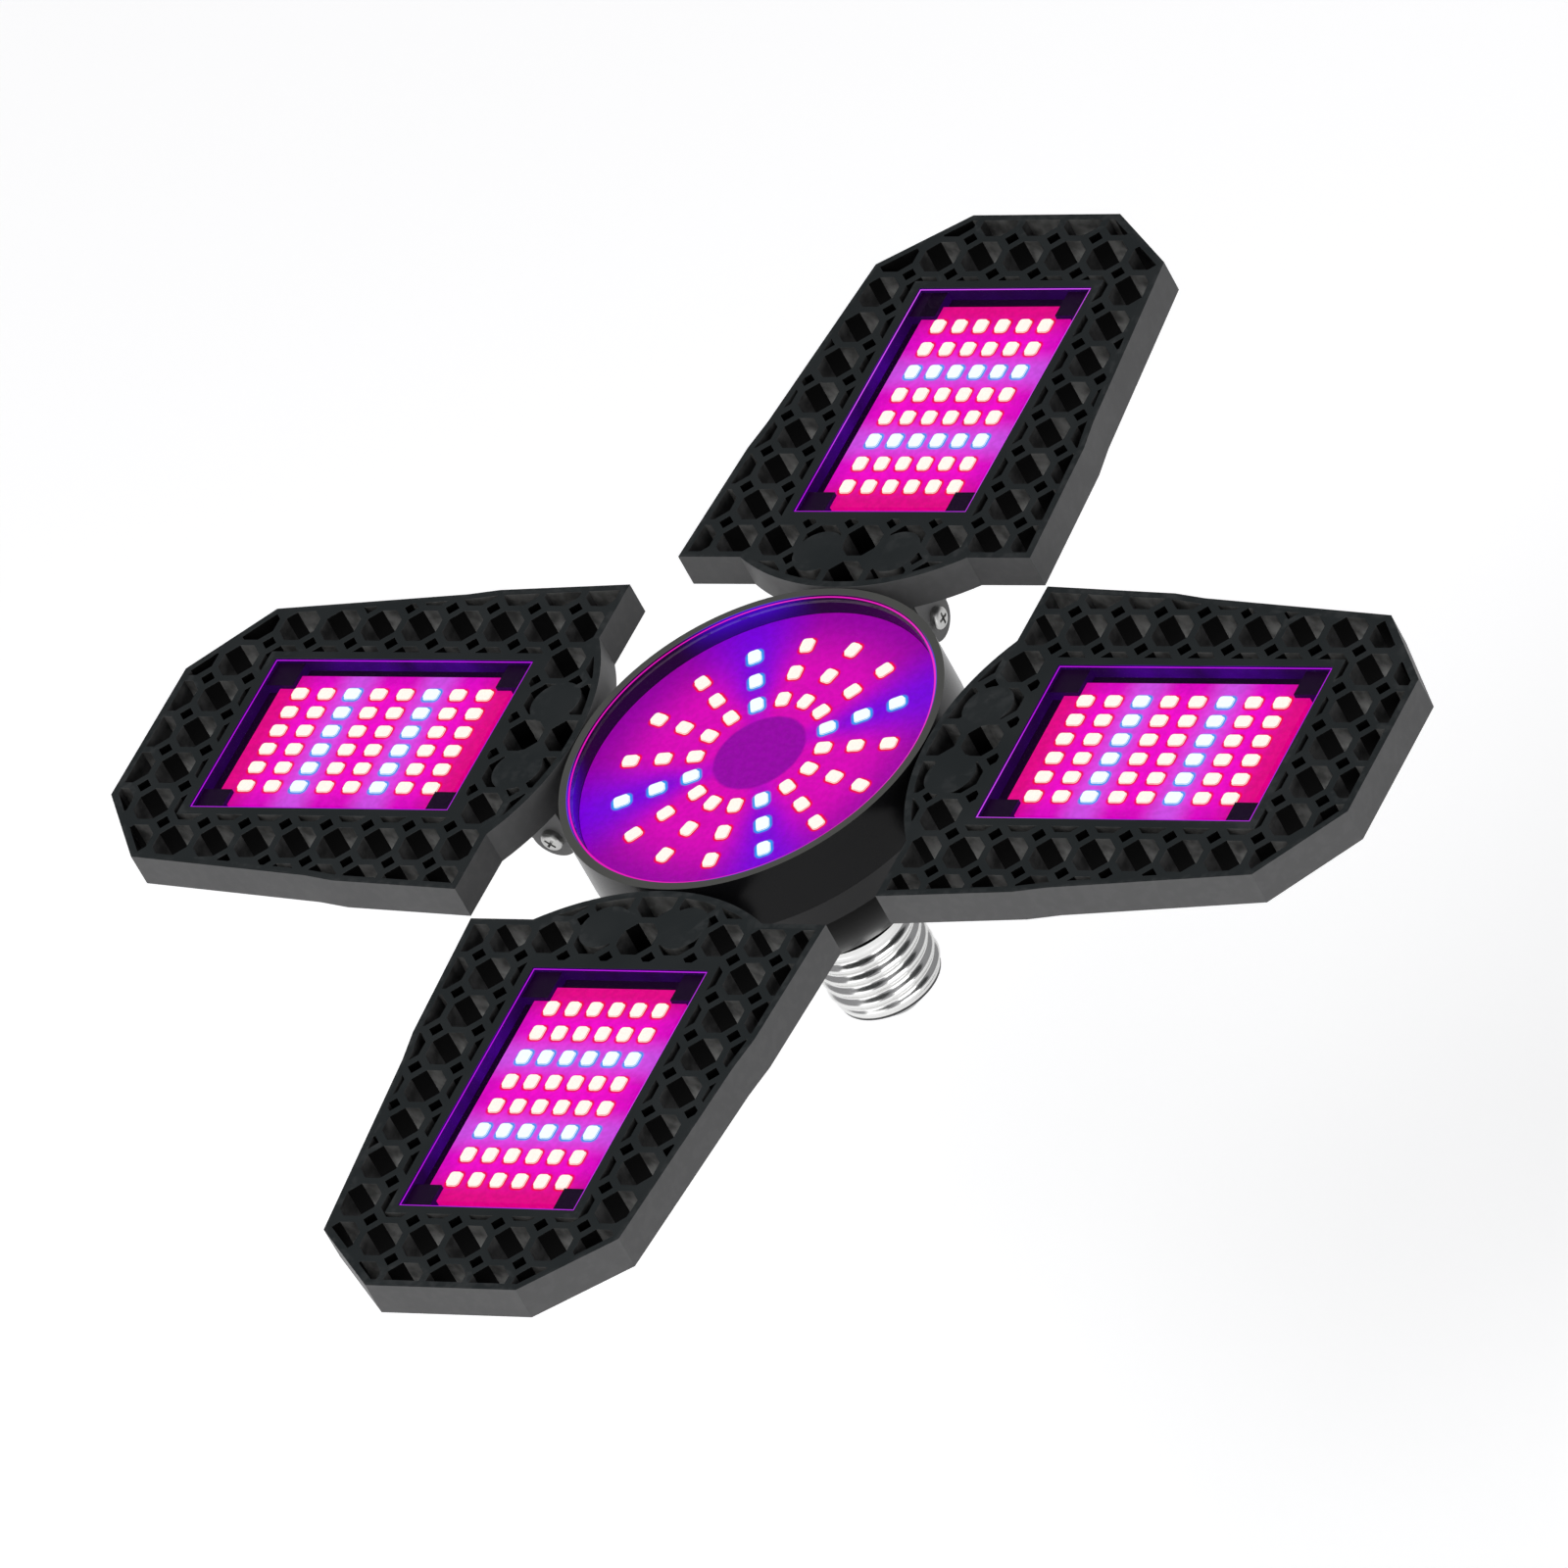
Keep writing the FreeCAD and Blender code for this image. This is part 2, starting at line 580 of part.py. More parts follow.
def polygon_face(points):
    loop = [Vector(x, y, face.value) for x, y in points]
    return Part.Face(Part.makePolygon(loop + loop[:1]))


def lattice_region():
    """Flat area of a wing that may hold cells: inside the rim, outside window band and bosses."""
    corners = [Vector(x.value, y.value, face.value) for x, y in wing_corners()]
    edges = [Part.makeLine(start, end) for start, end in zip(corners, corners[1:])]
    edges.append(Part.Arc(corners[-1], Vector(wing_start.value, 0, face.value), corners[0]).toShape())
    inner = Part.Wire(edges).makeOffset2D(-S["lattice_rim"].value, 2)
    band = S["window_band"]
    window = rectangle(window_length / 2 + band, window_width / 2 + band)
    region = Part.Face(inner).cut(polygon_face([(x.value, y.value) for x, y in window]))
    for x, y in clamp_places():
        boss = Part.makeCircle(S["boss_radius"].value, Vector(x.value, y.value, face.value), Z_AXIS)
        region = region.cut(Part.Face(Part.Wire(boss)))
    return region


def lattice_cells():
    """Eight-sided cells through the wing with small square cells between them, clipped to the region."""
    region = lattice_region()
    pitch = S["cell_pitch"].value
    first = (wing_start + S["lattice_start"]).value
    columns = int(S["wing_length"].value / pitch) + 1
    rows = int(root_half.value / pitch) + 1
    corner_radius = S["cell_flats"].value / 2 / math.cos(math.pi / CELL_SIDES)
    diamond_radius = S["diamond_side"].value / math.sqrt(2)
    solids = []
    for column in range(-2, columns):
        for row in range(-rows, rows + 1):
            x, y = first + pitch * column, pitch * row
            cell = [(x + dx, y + dy) for dx, dy in around(CELL_SIDES, corner_radius, 180.0 / CELL_SIDES)]
            solids += cut_cell(cell, region, S["wing_thick"].value)
            x, y = x + pitch / 2, y + pitch / 2
            cell = [(x + dx, y + dy) for dx, dy in around(DIAMOND_SIDES, diamond_radius)]
            solids += cut_cell(cell, region, S["diamond_depth"].value)
    return solids


def cut_cell(points, region, depth):
    """Prisms of one cell where it lies in the region, without slivers."""
    parts = polygon_face(points).common(region)
    return [part.extrude(Vector(0, 0, -depth)) for part in parts.Faces if part.Area >= SMALLEST_CELL]


def wing_lights(wing, angle):
    """LED board, its red and blue chips and the clear cover of one wing."""
    board = new_body(wing + "_led_board", angle)
    plate = new_sketch(board, "XY_Plane", wing_floor)
    half_long, half_wide = S["led_board_length"] / 2, S["led_board_width"] / 2
    notch = S["board_notch"]
    draw_outline(plate, notched(half_long, half_wide, half_long - notch, half_wide - notch))
    pad(board, plate, S["board_thick"])
    cover = new_body(wing + "_cover", angle)
    pane = new_sketch(cover, "XY_Plane", ledge_height)
    draw_outline(pane, rectangle(window_length / 2 - S["fit_gap"], window_width / 2 - S["fit_gap"]))
    pad(cover, pane, S["cover_thick"])
    chips = {"red": [], "blue": []}
    for column in range(LONG_CHIPS):
        colour = "blue" if column in BLUE_COLUMNS else "red"
        x = window_mid + S["chip_pitch_long"] * (column - (LONG_CHIPS - 1) / 2)
        for row in range(WIDE_CHIPS):
            y = S["chip_pitch_wide"] * (row - (WIDE_CHIPS - 1) / 2)
            chips[colour].append(chip_box(x.value, y.value, wing_board_top.value))
    for colour, solids in chips.items():
        solid_group("%s_%s_leds" % (wing, colour), solids, angle)


def wing_bracket(wing, angle):
    """Hinge bracket under a wing: a foot with two lugs, its screws and the pivot screws."""
    bracket = new_body(wing + "_bracket", angle)
    inboard, radius = S["lug_inboard"], S["lug_radius"]
    drop = (radius * radius - inboard * inboard).root()
    foot_end = wing_start + S["foot_end"]
    side = new_sketch(bracket, "XZ_Plane")
    draw_outline(side, [
        (hinge_place - inboard, wing_low), (hinge_place - inboard, hinge_height - drop),
        (hinge_place + radius, hinge_height), (foot_end, foot_low), (foot_end, wing_low)],
        {1: (radius, 1)})
    pad(bracket, side, S["lug_half"] * 2, midplane=True)
    middle = new_sketch(bracket, "XZ_Plane")
    draw_outline(middle, [
        (hinge_place - inboard * 2, hinge_height - radius * 2),
        (foot_end + S["cut_past"], hinge_height - radius * 2),
        (foot_end + S["cut_past"], foot_low), (hinge_place - inboard * 2, foot_low)])
    pocket(bracket, middle, lug_inner * 2, midplane=True)
    pivot = new_sketch(bracket, "XZ_Plane")
    draw_circle(pivot, hinge_place, hinge_height, S["pivot_radius"] + S["pivot_play"])
    pocket(bracket, pivot, S["lug_half"] * 4, midplane=True)
    for x, y in clamp_places():
        bore = new_sketch(bracket, "XY_Plane", wing_low)
        draw_circle(bore, x, y, S["clamp_radius"] + S["fit_gap"])
        pocket(bracket, bore, S["foot_thick"] + S["cut_past"])
        sink = new_sketch(bracket, "XY_Plane", foot_low)
        draw_circle(sink, x, y, S["clamp_head"] + S["fit_gap"])
        pocket(bracket, sink, S["clamp_head_high"], upward=True)
    seat = (foot_low + S["clamp_head_high"]).value
    length = (wing_low - seat + S["clamp_bite"]).value
    solid_group(wing + "_bracket_screws", [
        screw(S["clamp_head"].value, S["clamp_head_high"].value, S["clamp_radius"].value, length,
              Vector(x.value, y.value, seat), Vector(0, 0, 1)) for x, y in clamp_places()], angle)
    solid_group(wing + "_pivot_screws", [
        screw(S["pivot_head"].value, S["pivot_head_high"].value, S["pivot_radius"].value,
              S["pivot_length"].value,
              Vector(hinge_place.value, S["lug_half"].value * way, hinge_height.value),
              Vector(0, -way, 0)) for way in (-1, 1)], angle)


def check(names):
    """Stop if an object failed or a piece has no sound shape."""
    for item in doc.Objects:
        if "Invalid" in item.State or "Error" in item.State:
            raise RuntimeError("%s failed: %s" % (item.Label, item.State))
    for name in names:
        shape = doc.getObjectsByLabel(name)[0].Shape
        if shape.isNull() or not shape.isValid():
            raise RuntimeError(name + " has no sound shape")


def main():
    screw_base()
    driver_housing()
    hub_ring()
    housing_screws()
    centre_lights()
    driver()
    names = ["screw_shell", "shell_insulator", "centre_contact", "driver_housing", "hub_ring",
             "housing_screws", "centre_board", "centre_cover", "centre_red_leds", "centre_blue_leds",
             "driver_board", "transformer", "capacitors", "rectifier"]
    for wing, angle in WINGS:
        wing_frame(wing, angle)
        wing_lights(wing, angle)
        wing_bracket(wing, angle)
        names += [wing + ending for ending in ("_frame", "_led_board", "_cover", "_red_leds", "_blue_leds",
                                               "_bracket", "_bracket_screws", "_pivot_screws")]
    doc.recompute()
    check(names)
    os.makedirs("parts", exist_ok=True)
    for name in names:
        doc.getObjectsByLabel(name)[0].Shape.exportStep("parts/%s.step" % name)


main()
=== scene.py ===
"""Looks of the foldable grow light: finishes, lit boards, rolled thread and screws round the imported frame."""
import logging
import math
from dataclasses import dataclass
from enum import Enum, IntEnum
from typing import Callable

import bmesh
import bpy
from mathutils import Matrix, Vector


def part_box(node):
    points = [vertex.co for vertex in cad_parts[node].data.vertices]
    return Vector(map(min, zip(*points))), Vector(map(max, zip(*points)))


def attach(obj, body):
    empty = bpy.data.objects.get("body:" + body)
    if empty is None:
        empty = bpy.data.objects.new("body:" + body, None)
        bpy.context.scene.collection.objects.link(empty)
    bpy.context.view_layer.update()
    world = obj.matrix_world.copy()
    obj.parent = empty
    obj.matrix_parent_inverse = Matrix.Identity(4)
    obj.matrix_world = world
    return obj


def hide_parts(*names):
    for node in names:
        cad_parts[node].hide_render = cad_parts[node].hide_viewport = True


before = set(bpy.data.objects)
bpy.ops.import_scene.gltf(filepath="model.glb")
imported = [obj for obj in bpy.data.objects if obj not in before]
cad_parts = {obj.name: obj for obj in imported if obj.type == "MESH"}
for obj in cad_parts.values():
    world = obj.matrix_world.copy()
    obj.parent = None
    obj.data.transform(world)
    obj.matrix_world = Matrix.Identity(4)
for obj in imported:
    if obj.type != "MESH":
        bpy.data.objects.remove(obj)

LOG = logging.getLogger("grow_light")
Colour = tuple[float, float, float]
Socket = bpy.types.NodeSocket
Outputs = bpy.types.NodeOutputs
Material = bpy.types.Material
BMesh = bmesh.types.BMesh
BMFace = bmesh.types.BMFace

MM = 0.001
# Distance under which two points of a CAD mesh, or of a mesh made here, are one.
CAD_MERGE = 0.002 * MM
FINE_MERGE = 0.001 * MM
BLACK = (0.0, 0.0, 0.0)
# Range of a noise texture that ramps stretch to a full one.
NOISE = (0.3, 0.7)
# Upward part of a shading normal at which a surface starts, and fully counts, as level.
LEVEL = (0.55, 0.95)
# Upward part of a face's normal below which it is upright, and above which it is level.
UPRIGHT_FACE = 0.1
LEVEL_FACE = 0.9


class Wing(Enum):
    """The four wings and the angle, in degrees, that each one points at."""

    EAST = 0
    NORTH = 90
    WEST = 180
    SOUTH = 270

    @property
    def prefix(self) -> str:
        """Start of the names of this wing's nodes."""
        return self.name.lower()

    @property
    def body(self) -> str:
        """Body that this wing's pieces ride on."""
        return self.prefix + "_wing"


class Finish(Enum):
    """Finishes that more than one piece can share, with the names of their materials."""

    CASTING = "black_casting"
    CELLS = "cell_walls"
    BRACKET = "grey_bracket"
    HOUSING = "gloss_housing"
    INSULATOR = "black_insulator"
    CONTACT = "contact_metal"
    NICKEL = "nickel_plate"
    ZINC = "bright_zinc"
    DRIVER_BOARD = "green_board"
    WINDING = "yellow_winding"
    SLEEVE = "black_sleeve"
    RED_CORE = "red_core"
    RED_RIM = "red_rim"
    BLUE_CORE = "blue_core"
    BLUE_RIM = "blue_rim"


class Light(Enum):
    """The two kinds of LED chip: the colour of the chip itself and of the rim of light round it."""

    RED = ((1.0, 0.92, 0.84), (1.0, 0.0, 0.05))
    BLUE = ((0.90, 0.99, 1.0), (0.0, 0.36, 1.0))

    @property
    def core(self) -> Colour:
        """Colour of the glowing middle."""
        return self.value[0]

    @property
    def rim(self) -> Colour:
        """Colour of the rim."""
        return self.value[1]

    @property
    def finishes(self) -> tuple[Finish, Finish]:
        """Finishes of a chip in slot order: its body and its foot."""
        return Finish[self.name + "_CORE"], Finish[self.name + "_RIM"]

    def node(self, prefix: str) -> str:
        """Name of the CAD node that holds these chips on one board."""
        return "%s_%s_leds" % (prefix, self.name.lower())


class CastSlot(IntEnum):
    """Material slots of a wing's casting."""

    OUTER = 0
    CELLS = 1
    RECESS = 2


class Graph:
    """Short way to write a node tree."""

    def __init__(self, tree: bpy.types.NodeTree) -> None:
        """Keep the node tree to fill."""
        self.tree = tree

    def node(self, kind: str, **settings: object) -> bpy.types.Node:
        """Add a node.

        Args:
            kind: Type of the node.
            settings: Properties to set on it.

        Returns:
            The new node.
        """
        made = self.tree.nodes.new(kind)
        for key, value in settings.items():
            setattr(made, key, value)
        return made

    def feed(self, source: object, target: Socket) -> None:
        """Link a socket to a target, or set the target to a plain value.

        Args:
            source: Socket or value.
            target: Input that takes it.
        """
        if isinstance(source, Socket):
            self.tree.links.new(source, target)
        else:
            target.default_value = source

    def fill(self, node: bpy.types.Node, **values: object) -> None:
        """Feed several inputs of a node, whose names have underscores for their spaces."""
        for name, value in values.items():
            self.feed(value, node.inputs[name.replace("_", " ")])

    def math(self, operation: str, *values: object) -> Socket:
        """Result of a Math node.

        Args:
            operation: What the node does.
            values: Numbers or sockets that it takes.

        Returns:
            The result.
        """
        made = self.node("ShaderNodeMath", operation=operation)
        for socket, value in zip(made.inputs, values):
            self.feed(value, socket)
        return made.outputs[0]

    def times(self, first: object, *others: object) -> Socket:
        """Product of numbers and sockets.

        Args:
            first: First factor.
            others: The other factors.

        Returns:
            The product.
        """
        for other in others:
            first = self.math("MULTIPLY", first, other)
        return first

    def distance(self, value: object, middle: object) -> Socket:
        """How far a value is from a middle, on whichever side."""
        return self.math("ABSOLUTE", self.math("SUBTRACT", value, middle))

    def length(self, x: object, y: object) -> Socket:
        """Length of a line that runs x along and y across."""
        squares = [self.math("POWER", value, 2.0) for value in (x, y)]
        return self.math("SQRT", self.math("ADD", *squares))

    def ramp(self, value: object, low: object, high: object, start: object = 0.0,
             end: object = 1.0) -> Socket:
        """Smooth step of a value.

        Args:
            value: The value.
            low: Where the step starts.
            high: Where the step ends.
            start: Result up to the start.
            end: Result past the end.

        Returns:
            The result.
        """
        made = self.node("ShaderNodeMapRange", interpolation_type="SMOOTHSTEP")
        for socket, item in zip(made.inputs, (value, low, high, start, end)):
            self.feed(item, socket)
        return made.outputs[0]

    def fade(self, value: object, low: object, high: object) -> Socket:
        """Smooth step of a value from 1 at low to 0 at high."""
        return self.ramp(value, low, high, 1.0, 0.0)

    def mix(self, factor: object, first: object, second: object) -> Socket:
        """Mix of two colours.

        Args:
            factor: Share of the second colour.
            first: First colour, a socket or an RGB triple.
            second: Second colour, likewise.

        Returns:
            The mixed colour.
        """
        made = self.node("ShaderNodeMix", data_type="RGBA")
        colours = [c if isinstance(c, Socket) else (*c, 1.0) for c in (first, second)]
        for name, item in (("Factor_Float", factor), ("A_Color", colours[0]), ("B_Color", colours[1])):
            self.feed(item, next(s for s in made.inputs if s.identifier == name))
        return next(s for s in made.outputs if s.identifier == "Result_Color")

    def noise(self, place: Socket, scale: object, detail: float = 2.0) -> Socket:
        """Value of a noise texture.

        Args:
            place: Coordinates.
            scale: Fineness of the noise.
            detail: Number of finer layers.

        Returns:
            The value.
        """
        made = self.node("ShaderNodeTexNoise")
        self.fill(made, Vector=place, Scale=scale, Detail=detail)
        return made.outputs["Fac"]

    def bump(self, height: Socket, strength: float, distance: float) -> Socket:
        """Normal that follows a height.

        Args:
            height: The height.
            strength: Strength of the effect.
            distance: What a height of 1 stands for.

        Returns:
            The normal.
        """
        made = self.node("ShaderNodeBump")
        self.fill(made, Strength=strength, Distance=distance, Height=height)
        return made.outputs[0]

    def split(self, vector: Socket) -> Outputs:
        """Separate a vector.

        Args:
            vector: The vector.

        Returns:
            Sockets X, Y and Z.
        """
        made = self.node("ShaderNodeSeparateXYZ")
        self.feed(vector, made.inputs[0])
        return made.outputs

    def normal(self) -> Outputs:
        """X, Y and Z of the surface's normal."""
        return self.split(self.node("ShaderNodeTexCoord").outputs["Normal"])

    def group(self, tree: bpy.types.NodeTree, **values: object) -> Outputs:
        """Place a shader group.

        Args:
            tree: The group.
            values: Its inputs.

        Returns:
            Its outputs.
        """
        made = self.node("ShaderNodeGroup", node_tree=tree)
        self.fill(made, **values)
        return made.outputs

    def wrapped(self, value: Socket, pitch: float, offset: float = 0.0) -> Socket:
        """Distance of a value from the nearest point of a row, negative before the point.

        Args:
            value: The value.
            pitch: Distance between the row's points.
            offset: Place of one of them.

        Returns:
            The distance.
        """
        moved = self.math("ADD", value, pitch / 2 - offset)
        whole = self.math("FLOOR", self.math("DIVIDE", moved, pitch))
        rest = self.math("SUBTRACT", moved, self.times(whole, pitch))
        return self.math("SUBTRACT", rest, pitch / 2)


class Surface(Graph):
    """Graph of a new material: its Principled shader and the Object coordinates that its patterns read."""

    def __init__(self, name: str) -> None:
        """Make the material, its shader and its output.

        Args:
            name: Name of the material.
        """
        self.material = bpy.data.materials.new(name)
        self.material.use_nodes = True
        self.material.node_tree.nodes.clear()
        super().__init__(self.material.node_tree)
        self.shader = self.node("ShaderNodeBsdfPrincipled")
        output = self.node("ShaderNodeOutputMaterial")
        self.feed(self.shader.outputs[0], output.inputs["Surface"])
        self.place = self.node("ShaderNodeTexCoord").outputs["Object"]

    def turned(self, angle: float) -> Outputs:
        """Object coordinates turned so that X runs along a wing.

        Args:
            angle: Angle of the wing in degrees.

        Returns:
            Sockets X, Y and Z.
        """
        mapping = self.node("ShaderNodeMapping", vector_type="POINT")
        mapping.inputs["Rotation"].default_value = (0.0, 0.0, -math.radians(angle))
        self.feed(self.place, mapping.inputs["Vector"])
        return self.split(mapping.outputs[0])

    def grain(self, fineness: float) -> Outputs:
        """Outputs Height and Blotch of a coat's grain on this surface."""
        return self.group(GRAIN, Place=self.place, Fineness=fineness)

    def finish(self, **values: object) -> Material:
        """Feed the shader's inputs and give the material."""
        self.fill(self.shader, **values)
        return self.material


Fill = Callable[[Graph, Outputs, bpy.types.NodeInputs], None]


def new_group(name: str, inputs: dict[str, tuple[str, object]], outputs: dict[str, str],
              fill: Fill) -> bpy.types.NodeTree:
    """Make a shader group.

    Args:
        name: Name of the group.
        inputs: Input name to socket type and default.
        outputs: Output name to socket type.
        fill: Function that links the inside.

    Returns:
        The group's tree.
    """
    tree = bpy.data.node_groups.new(name, "ShaderNodeTree")
    for label, (kind, default) in inputs.items():
        socket = tree.interface.new_socket(label, in_out="INPUT", socket_type="NodeSocket" + kind)
        if default is not None:
            socket.default_value = default
    for label, kind in outputs.items():
        tree.interface.new_socket(label, in_out="OUTPUT", socket_type="NodeSocket" + kind)
    graph = Graph(tree)
    fill(graph, graph.node("NodeGroupInput").outputs, graph.node("NodeGroupOutput").inputs)
    return tree


def fill_grain(graph: Graph, given: Outputs, wanted: bpy.types.NodeInputs) -> None:
    """Fine grain and slow blotches of a coated or plated surface.

    Args:
        graph: Graph of the group.
        given: What the group is given.
        wanted: What the group puts out.
    """
    blotch_share = 0.04
    blotches = graph.times(given["Fineness"], blotch_share)
    graph.feed(graph.noise(given["Place"], given["Fineness"], detail=3.0), wanted["Height"])
    graph.feed(graph.noise(given["Place"], blotches), wanted["Blotch"])


def fill_wear(graph: Graph, given: Outputs, wanted: bpy.types.NodeInputs) -> None:
    """Mask of the edges where a coat is thin, broken up by a noise.

    Args:
        graph: Graph of the group.
        given: What the group is given.
        wanted: What the group puts out.
    """
    sharp, patches, patch_scale = (0.505, 0.56), (0.42, 0.66), 420.0
    pointed = graph.node("ShaderNodeNewGeometry").outputs["Pointiness"]
    broken = graph.ramp(graph.noise(given["Place"], patch_scale), *patches)
    graph.feed(graph.times(graph.ramp(pointed, *sharp), broken, given["Amount"]), wanted["Mask"])


def fill_halo(graph: Graph, given: Outputs, wanted: bpy.types.NodeInputs) -> None:
    """Glow round a chip with rounded corners, from the distances to its middle along and across.

    Args:
        graph: Graph of the group.
        given: What the group is given.
        wanted: What the group puts out.
    """
    hot, near = (0.10 * MM, 0.30 * MM), (0.45 * MM, 1.05 * MM)
    beyond = []
    for way, half in (("Along", "Half long"), ("Across", "Half wide")):
        past = graph.math("SUBTRACT", graph.math("ABSOLUTE", given[way]), given[half])
        beyond.append(graph.math("MAXIMUM", past, 0.0))
    away = graph.math("SUBTRACT", graph.length(*beyond), given["Corner"])
    graph.feed(graph.fade(away, *hot), wanted["Hot"])
    graph.feed(graph.fade(away, *near), wanted["Near"])


GRAIN = new_group("coat_grain", {"Place": ("Vector", None), "Fineness": ("Float", 900.0)},
                  {"Height": "Float", "Blotch": "Float"}, fill_grain)
WEAR = new_group("edge_wear", {"Place": ("Vector", None), "Amount": ("Float", 0.5)},
                 {"Mask": "Float"}, fill_wear)
HALO = new_group("chip_halo", {"Along": ("Float", 0.0), "Across": ("Float", 0.0),
                               "Half long": ("Float", 1.0 * MM), "Half wide": ("Float", 0.65 * MM),
                               "Corner": ("Float", 0.75 * MM)},
                 {"Hot": "Float", "Near": "Float"}, fill_halo)


def scaled(colour: Colour, factor: float, lift: float = 0.0) -> Colour:
    """Colour made darker or lighter, with no channel past 1."""
    return tuple(min(1.0, channel * factor + lift) for channel in colour)


@dataclass
class Window:
    """A wing's window: where its pane, board and chips lie. Its middle is a distance along the wing."""

    length: float
    width: float
    middle: float
    pitch_long: float = 7.15 * MM
    pitch_wide: float = 5.67 * MM
    columns: int = 8
    rows: int = 6
    blue_columns: tuple[int, int] = (2, 5)

    @classmethod
    def measure(cls) -> "Window":
        """Read the east wing's cover, which lies along x."""
        low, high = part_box("east_cover")
        return cls(high.x - low.x, high.y - low.y, (low.x + high.x) / 2)

    def along(self, surface: Surface, wing: Wing) -> tuple[Socket, Socket]:
        """Places along and across a wing, both from the window's middle."""
        turned = surface.turned(wing.value)
        return surface.math("SUBTRACT", turned["X"], self.middle), turned["Y"]

    def near_blue(self, surface: Surface, along: Socket, start: float, end: float) -> Socket:
        """Mask that is full on the blue columns and fades out beside them.

        Args:
            surface: Graph of the material.
            along: Place along the wing, from the window's middle.
            start: Distance from a column up to which the mask is full, in chip spacings.
            end: Distance at which it has faded out, in chip spacings.

        Returns:
            The mask.
        """
        masks = []
        for column in self.blue_columns:
            spot = self.pitch_long * (column - (self.columns - 1) / 2)
            masks.append(surface.fade(surface.distance(along, spot), start * self.pitch_long,
                                      end * self.pitch_long))
        return surface.math("MAXIMUM", *masks)

    def holds(self, point: Vector, slack: float) -> bool:
        """Tell whether a point of the east wing lies in the window, made larger by some slack."""
        return (abs(point.x - self.middle) < self.length / 2 + slack
                and abs(point.y) < self.width / 2 + slack)

    def inward(self, surface: Surface, wing: Wing) -> Socket:
        """Distance from the edge of a wing's pane.

        Args:
            surface: Graph of the material.
            wing: The wing.

        Returns:
            The distance, positive on the pane.
        """
        along, across = (surface.math("ABSOLUTE", place) for place in self.along(surface, wing))
        return surface.math("MINIMUM", surface.math("SUBTRACT", self.length / 2, along),
                            surface.math("SUBTRACT", self.width / 2, across))


@dataclass
class RoundBoard:
    """The hub's round board: its size, its rays of chips and the dish that it lies in."""

    radius: float
    cover_radius: float
    floor_height: float
    face_height: float
    turn: float = 28.0
    rays: int = 16
    blue_rays: int = 4
    rings: tuple[float, float, float] = (16.1 * MM, 24.2 * MM, 32.5 * MM)
    disc: float = 11.0 * MM

    @classmethod
    def measure(cls) -> "RoundBoard":
        """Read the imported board, cover and ring."""
        board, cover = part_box("centre_board")[1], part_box("centre_cover")[1]
        return cls(board.x, cover.x, board.z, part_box("hub_ring")[1].z)

    def inward(self, surface: Surface) -> Socket:
        """Distance from the round pane's edge, positive on the pane."""
        place = surface.split(surface.place)
        return surface.math("SUBTRACT", self.cover_radius, surface.length(place["X"], place["Y"]))


@dataclass(frozen=True)
class CoatedMetal:
    """Powder-coated casting: a dark coat on faces square to the lamp's axis, with painted light that makes its
    upright sides a lighter grey.
    """

    # face is the coat's own colour; side is the same coat with painted light, used on the upright walls.
    face: Colour
    side: Colour
    shine: float = 0.3
    roughness: tuple[float, float] = (0.42, 0.56)
    grain: float = 1500.0
    bump: float = 0.06
    bump_height: float = 0.15 * MM
    wear: float = 0.12
    worn_factor: float = 1.4
    worn_lift: float = 0.03
    mottle: float = 0.07
    mottle_factor: float = 1.5
    mottle_range: tuple[float, float] = (0.35, 0.75)

    def build(self, name: str) -> Material:
        """Make the material.

        Args:
            name: Its name.

        Returns:
            The material.
        """
        surface = Surface(name)
        grain = surface.grain(self.grain)
        worn = surface.group(WEAR, Place=surface.place, Amount=self.wear)["Mask"]
        level = surface.ramp(surface.math("ABSOLUTE", surface.normal()["Z"]), *LEVEL)
        # Painted light: upright faces take the lighter side colour because of the way their normals point.
        coat = surface.mix(level, self.side, self.face)
        mottle = surface.ramp(grain["Blotch"], *self.mottle_range, 0.0, self.mottle)
        coat = surface.mix(mottle, coat, scaled(self.side, self.mottle_factor))
        bare = scaled(self.side, self.worn_factor, self.worn_lift)
        return surface.finish(Base_Color=surface.mix(worn, coat, bare),
                              Roughness=surface.ramp(grain["Blotch"], *NOISE, *self.roughness),
                              Specular_IOR_Level=self.shine,
                              Normal=surface.bump(grain["Height"], self.bump, self.bump_height))


@dataclass(frozen=True)
class CellWall:
    """Walls of the lattice cells, between two heights, in painted light and shade: facets that face one way
    take painted light, those facing another a painted half light, and the rest black painted shade.
    """

    low: float
    high: float
    # Colours of the painted shade, the painted light and the painted half light on the cell facets.
    dark: Colour = (0.002, 0.002, 0.002)
    bright: Colour = (0.34, 0.34, 0.33)
    grey: Colour = (0.06, 0.06, 0.06)
    grain: float = 260.0
    facing: tuple[float, float] = (0.75, 0.98)
    top_light: float = 0.25
    patches: tuple[float, float] = (0.35, 1.0)

    def build(self, name: str) -> Material:
        """Make the material.

        Args:
            name: Its name.

        Returns:
            The material.
        """
        surface = Surface(name)
        normal = surface.normal()
        grain = surface.grain(self.grain)
        # Painted light falls on facets whose normals point one way, painted half light on those facing another.
        front = surface.ramp(surface.times(normal["Y"], -1.0), *self.facing)
        half_lit_facets = surface.ramp(normal["X"], *self.facing)
        # The painted light is full at the casting's lowest height and fades to a smaller share at its face.
        depth = surface.ramp(surface.split(surface.place)["Z"], self.low, self.high, 1.0, self.top_light)
        patchy = surface.ramp(grain["Height"], *NOISE, *self.patches)
        colour = surface.mix(surface.times(half_lit_facets, patchy), self.dark, self.grey)
        colour = surface.mix(surface.times(front, depth, patchy), colour, self.bright)
        return surface.finish(Base_Color=colour, Roughness=0.42, Specular_IOR_Level=0.03)


